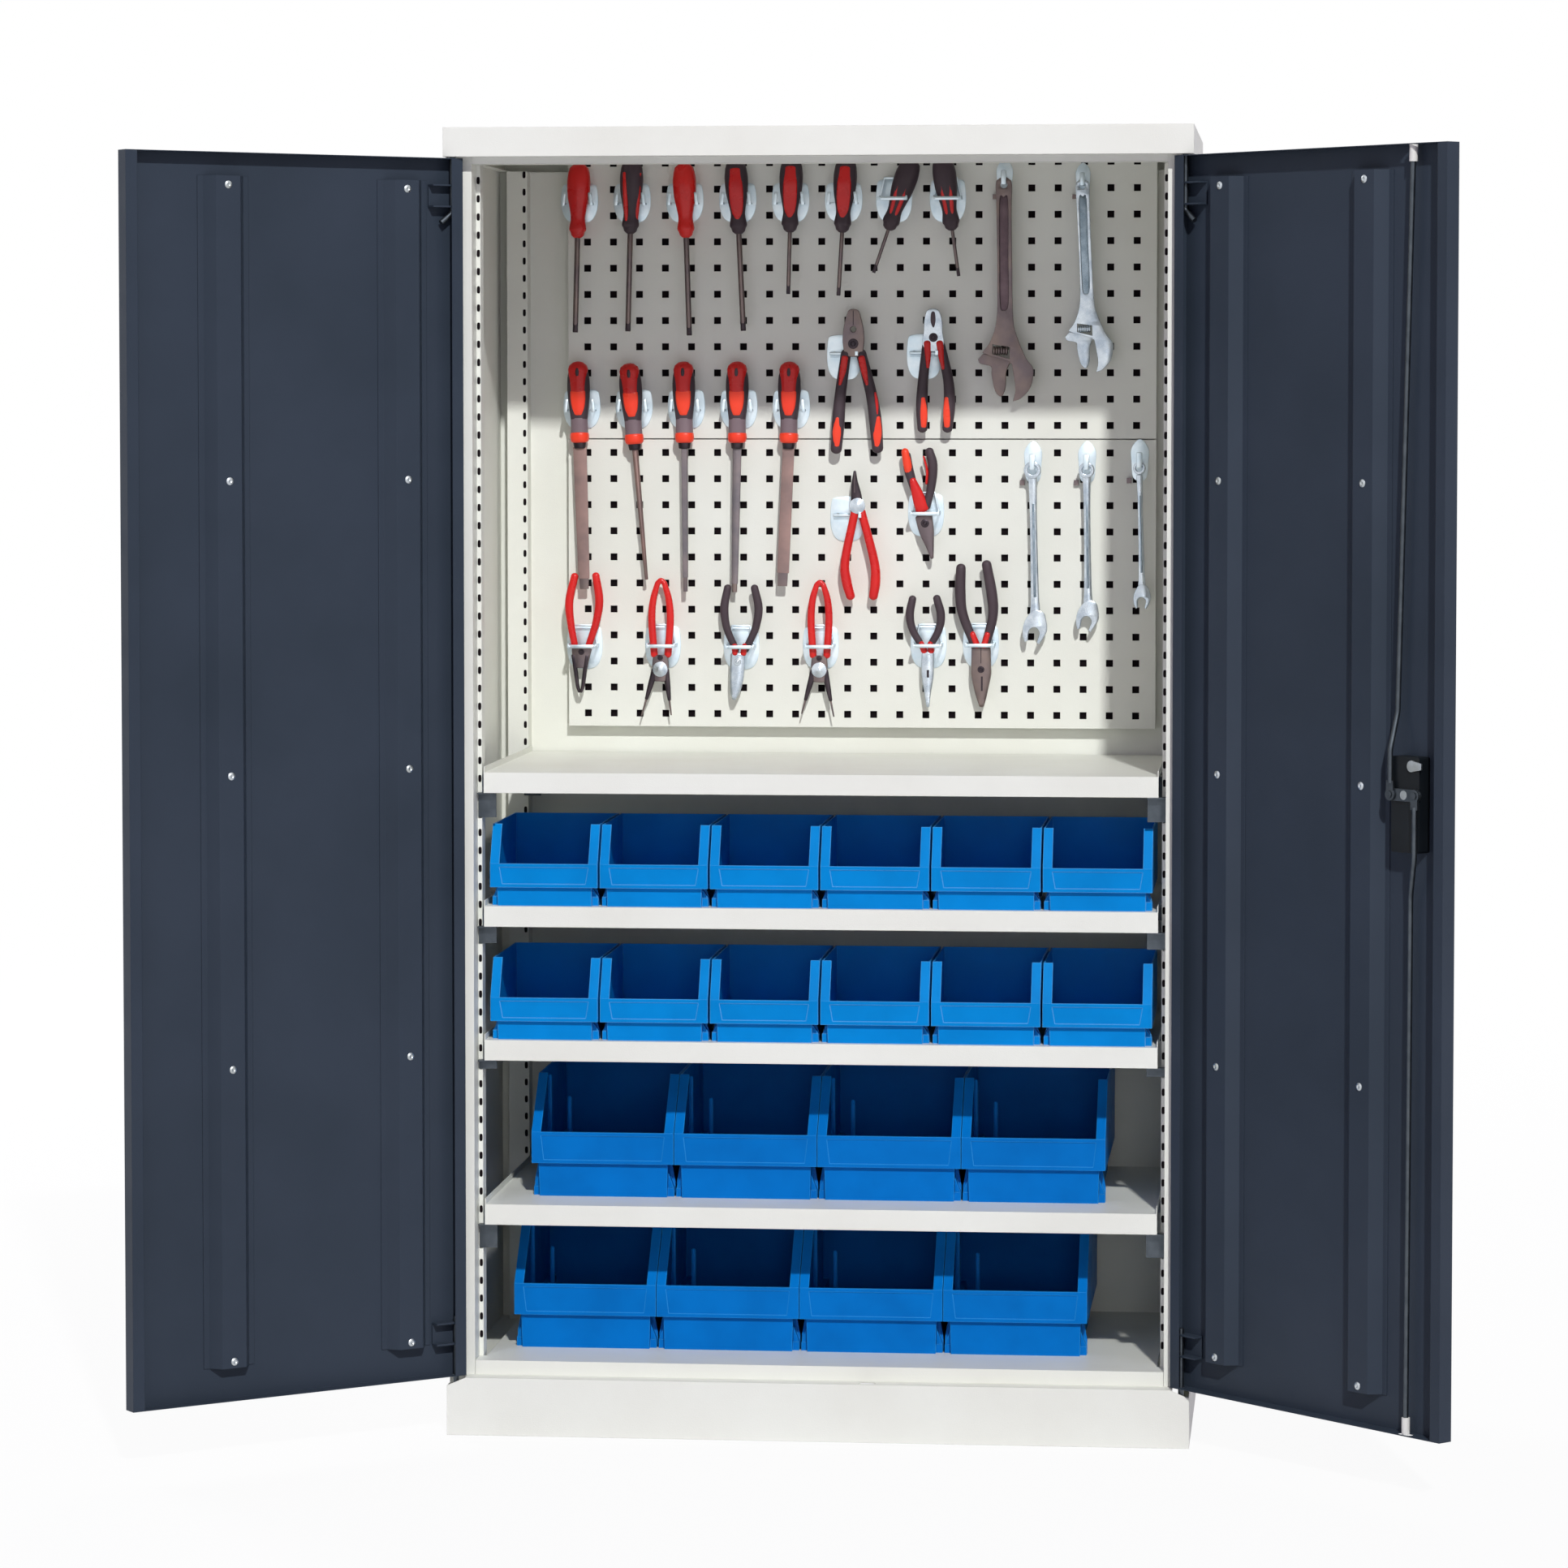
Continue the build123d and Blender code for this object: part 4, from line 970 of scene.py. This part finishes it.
def arched_hook(kit, x, z, size):
    """The hook that carries a wrench by its ring, and a small dark stop beside its foot."""
    arch = ((-11, 8), (-11, 26), (0, 38), (11, 26), (11, 8), (9, -12), (0, -17), (-9, -12))
    backing(kit, outline([(x + a * size, z + b * size) for a, b in arch]))
    ledge = 3.5 * size
    slab(kit["holder"], (x - ledge, board - 30, z + 1), (x + ledge, board - SHEET / 2, z + 4.2))
    wire(kit, (x, z + 1, 7 * size), (x, z + 20 * size, 8 * size), 30, 2.4, blunt=0.3)
    low, high = (x - 17 * size, z - 20 * size), (x - 11 * size, z - 13 * size)
    slab(kit["steel"], (low[0], board - 6, low[1]), (high[0], board - 0.2, high[1]))


def holders():
    """The clips behind the two rows of handles, and the pliers' and wrenches' holders."""
    clip = spring_clip()
    clips = [
        row(clip, holder_zinc, 6, (-390.5, board, 1720), (77.1, 0, 0)),
        row(clip, holder_zinc, 5, (-387.5, board, 1421), (76.6, 0, 0)),
    ]
    rows_piece("spring_clips", clips, holder_zinc, "cabinet")
    kit = Kit("holders")
    for x, z in ((68, 1722), (146, 1722), (-384, 1074), (-269, 1075), (-154, 1074), (-38, 1075),
                 (119, 1077), (195, 1078), (115, 1268)):
        forked_holder(kit, x, z)
    for x, z in ((-4, 1496), (112, 1497), (1, 1262)):
        pronged_holder(kit, x, z, 22)
    for x, z, size in ((228, 1741, 1.0), (341, 1739, 0.9), (270, 1331, 1.1), (348, 1331, 1.1),
                       (424, 1334, 1.1)):
        arched_hook(kit, x, z, size)
    kit.hang()


def board_hole_shade():
    """Dark sheets in the boards' trays that paint the shade seen through their holes."""
    margin, behind, thick = 3, 5, 0.8
    shape = bmesh.new()
    for name in ("lower_pegboard", "upper_pegboard"):
        low, high = (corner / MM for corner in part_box(name))
        front = board + behind
        slab(shape, (low.x + margin, front, low.z + margin),
             (high.x - margin, front + thick, high.z - margin))
    piece("board_linings", shape, slot_and_hole_shade, "cabinet")


# ---------------------------------------------------------------- posts, doors and bins
def post_slots():
    """Dark plates that paint the shade seen through the rows of slots in the four posts, between
    the ones that hold clips.
    """
    shape = bmesh.new()
    corners = [(-2, 3.6), (-2, -3.6), (0, -5), (2, -3.6), (2, 3.6), (0, 5)]
    flat(shape, [outline(corners, 3)], 0, 0.5, 0.1)
    slot = shape_to_repeat("slot", shape)
    pitch = 25
    runs = ((130, 5), (280, 9), (530, 6), (705, 6))  # the lowest slot's height, and how many
    meshes = []
    for x, y, in_top_run in ((473.0, -211.7, 35), (470.5, 202.3, 36)):  # front and rear posts
        for way in (-1, 1):
            for low, count in (*runs, (880, in_top_run)):
                meshes.append(row(slot, slot_and_hole_shade, count, (way * x, y, low), (0, 0, pitch)))
    rows_piece("post_slots", meshes, slot_and_hole_shade, "cabinet")


class Door:
    """A door's own directions: along it from the hinge, and into the cabinet when it is shut."""

    HINGE_X, HINGE_Y = 500.0, -266.5

    def __init__(self, side, opened):
        angle = radians(opened)
        self.hinge = Vector((side * self.HINGE_X, self.HINGE_Y, 0.0))
        self.along = Vector((-side * cos(angle), -sin(angle), 0.0))
        self.inward = Vector((-side * sin(angle), cos(angle), 0.0))

    def at(self, along, inward, z):
        """The point so far from the hinge and the door's own plane, at a height."""
        return self.hinge + self.along * along + self.inward * inward + Vector((0, 0, z))


def rivets():
    """Blind rivets down the middle of each door's two stiffeners."""
    stiffeners, crown = (74, 346), 7.2  # their middles from the hinge, and their crowns' height
    lowest, step, count = 135, 395, 5
    profile = ((-0.4, 5.4), (0.5, 5.4), (1.4, 4.4), (1.9, 2.6), (1.2, 1.8), (1.0, 0.6))
    shape = bmesh.new()
    turned(shape, profile, (0, 0, 0), (0, 0, 1), 12)
    head = shape_to_repeat("rivet", shape)
    zinc = finishes["zinc"]
    for name, door in (("left_door", Door(-1, 141.35)), ("right_door", Door(1, 134.5))):
        lines = [
            row(head, zinc, count, door.at(along, crown, lowest), (0, 0, step), door.inward)
            for along in stiffeners
        ]
        rows_piece(f"{name}_rivets", lines, zinc, name)


def rim_ribs(shape, low, high, rim):
    """A flared rib and the brace behind it at each side of a bin, up to the rim's height."""
    flare = ((0.6, 0.6), (9.4, 0.6), (9.2, rim - 0.5), (5.5, rim - 0.5), (0.6, rim * 0.42))
    brace = ((1.2, 12.2), (9.5, 12.2), (9.2, rim * 0.45 + 12))
    for way, side in ((1, low.x), (-1, high.x)):
        for behind, thick, corners in ((30, 2.4, flare), (27, 20, brace)):
            points = [(side + way * a, low.z + b) for a, b in corners]
            flat(shape, [points], low.y + behind, thick, 0.4)


def divider_guides(shape, low):
    """Two upright guides on a large bin's left wall, with a low web between each and the wall."""
    foot, wall, web = 3, 10, 70
    for behind, top, out in ((80, 132, 43), (78, 163, 15)):
        x, y = low.x + out, low.y + behind
        slab(shape, (low.x + wall, y - 1.1, low.z + foot), (x, y + 1.1, low.z + web))
        upright = [(x, low.z + foot, 8, 6), (x, low.z + top - foot, 6.0, 5)]
        limb(shape, upright, y, steps=1, around=10)


def bin_ribs():
    """The ribs under each bin's rim, and the guides for a divider in each large bin."""
    rides = frame["record"]["behaviour"]["bodies"].items()
    bodies = {node: body for body, nodes in rides for node in nodes}
    for name in sorted(node for node in frame["nodes"] if "_bin_" in node):
        large = name.startswith("large")
        rim, look = (47, "deep_blue") if large else (26, "bright_blue")
        low, high = (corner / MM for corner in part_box(name))
        shape = bmesh.new()
        rim_ribs(shape, low, high, rim)
        if large:
            divider_guides(shape, low)
        piece(f"{name}_ribs", shape, finishes[look], bodies[name])


screwdrivers()
files()
pliers()
wrenches()
holders()
board_hole_shade()
post_slots()
rivets()
bin_ribs()
